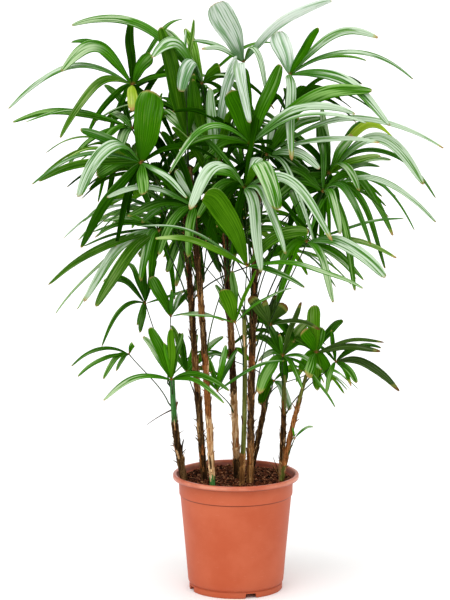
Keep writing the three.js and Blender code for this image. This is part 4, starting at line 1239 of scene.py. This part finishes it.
# From the lowest to the highest: height on the cane, rise, stalk's length.
BEHIND_HEIGHTS = (620, 955)
BEHIND_RISE = (12, 64)
BEHIND_STALK = (235, 165)
BEHIND_FINGERS = 5
FINGER_FAN = 72
FINGER_REACH = 215
FINGER_WIDTH = 27
FINGER_ARCH = 0.22
FINGER_SAG = 0.18
FINGER_DROOP = (28, 12)
# The fingers between those of the solid are this much smaller.
EXTRA_REACH = 0.9
EXTRA_WIDTH = 0.8
SILVER = 0.414214


def make_behind_frond(i):
    rng = np.random.default_rng(BEHIND_SEED + i)
    name = f"frond_behind_{i + 1:02d}"
    points = node_points(name)
    share = i / (BEHIND - 1)
    rise = math.radians(between(BEHIND_RISE, share))
    if i < BEHIND_LOW:
        number, height, scale, size = LOW_CANE, LOW_HEIGHT + LOW_STEP * i, LOW_SCALE, SMALL_STALK
    else:
        number, height = BEHIND_CANES[i % len(BEHIND_CANES)], between(BEHIND_HEIGHTS, share)
        scale, size = 1.0, 1.0
    out = level_way(math.radians(between(BEHIND_TURN, (0.2 + i * GOLDEN) % 1)))
    side = np.cross(UP, out)
    stalk = scale * between(BEHIND_STALK, share)
    hub = cane_axis(number, height) + stalk * (out * math.cos(rise) + UP * math.sin(rise))
    pile = Pile()
    add_stalk(pile, points, number, height, hub, size)
    tone = BEHIND_TONES[i % len(BEHIND_TONES)]
    # Every other finger stands between two of the solid's.
    for k in range(2 * BEHIND_FINGERS - 1):
        place, extra = k / 2, k % 2 == 1
        spread = math.radians(FINGER_FAN * (2 * place / (BEHIND_FINGERS - 1) - 1))
        chance = (i * GOLDEN + place * SILVER) % 1
        pitch = 0.6 * rise - math.radians(between(FINGER_DROOP, (i * SILVER + place * GOLDEN) % 1))
        reach = scale * FINGER_REACH * (0.85 + 0.15 * math.cos(spread)) * (0.9 + 0.2 * chance)
        reach *= EXTRA_REACH if extra else 1
        ahead = (out * math.cos(pitch) + UP * math.sin(pitch)) * math.cos(spread)
        tip = hub + reach * (ahead + side * math.sin(spread) - UP * FINGER_SAG)
        if not extra:
            tip = tip + FRONT * find_shift(points, tip)
        width = scale * FINGER_WIDTH * (0.8 + 0.4 * chance) * (EXTRA_WIDTH if extra else 1)
        add_blade(pile, hub, tip, 2 * FINGER_ARCH * reach, width, unit(out * 0.5 + UP), place, tone, rng)
    pile.piece(f"{name}_leaf", FROND_LOOKS, name, "frond")


for i in range(BEHIND):
    make_behind_frond(i)

# ---- studio ------------------------------------------------------------------
# A plain pale floor under a white sky, with one large soft light overhead,
# a little to the front, and a weaker one from behind.
FLOOR_HALF = 40
FLOOR_PAINT = (0.93, 0.93, 0.93, 1)
SKY_WHITE = (1, 1, 1, 1)
SKY_SEEN = 1.05
SKY_LIGHT = 0.55
SUNS = {
    "overhead": {"from": (-0.18, -0.5, 1.0), "angle": 75, "strength": 2.4},
    "behind": {"from": (0.2, 0.8, 1.0), "angle": 75, "strength": 0.9},
}

floor_mesh = bpy.data.meshes.new("floor")
floor_corners = [(x * FLOOR_HALF, y * FLOOR_HALF, 0) for x, y in ((-1, -1), (1, -1), (1, 1), (-1, 1))]
floor_mesh.from_pydata(floor_corners, [], [(0, 1, 2, 3)])
floor_mesh.materials.append(Look("floor_paint").finish(FLOOR_PAINT, 0.9, Specular_IOR_Level=0.1))
floor = bpy.data.objects.new("floor", floor_mesh)
bpy.context.collection.objects.link(floor)

sky = Look("studio", bpy.data.worlds)
seen = sky.add("ShaderNodeLightPath", {}, {}, "Is Camera Ray")
strength = sky.add("ShaderNodeMapRange", {}, {"Value": seen, "To Min": SKY_LIGHT, "To Max": SKY_SEEN})
white = sky.add("ShaderNodeBackground", {}, {"Color": SKY_WHITE, "Strength": strength})
sky.add("ShaderNodeOutputWorld", {}, {"Surface": white})
bpy.context.scene.world = sky.owner

for title, sun in SUNS.items():
    light = bpy.data.lights.new(title, "SUN")
    light.angle = math.radians(sun["angle"])
    light.energy = sun["strength"]
    holder = bpy.data.objects.new(title, light)
    x, y, z = sun["from"]
    holder.rotation_euler = (math.atan2(math.hypot(x, y), z), 0, math.atan2(x, -y))
    bpy.context.collection.objects.link(holder)

bpy.context.scene.view_settings.view_transform = "Standard"
bpy.context.scene.view_settings.look = "None"
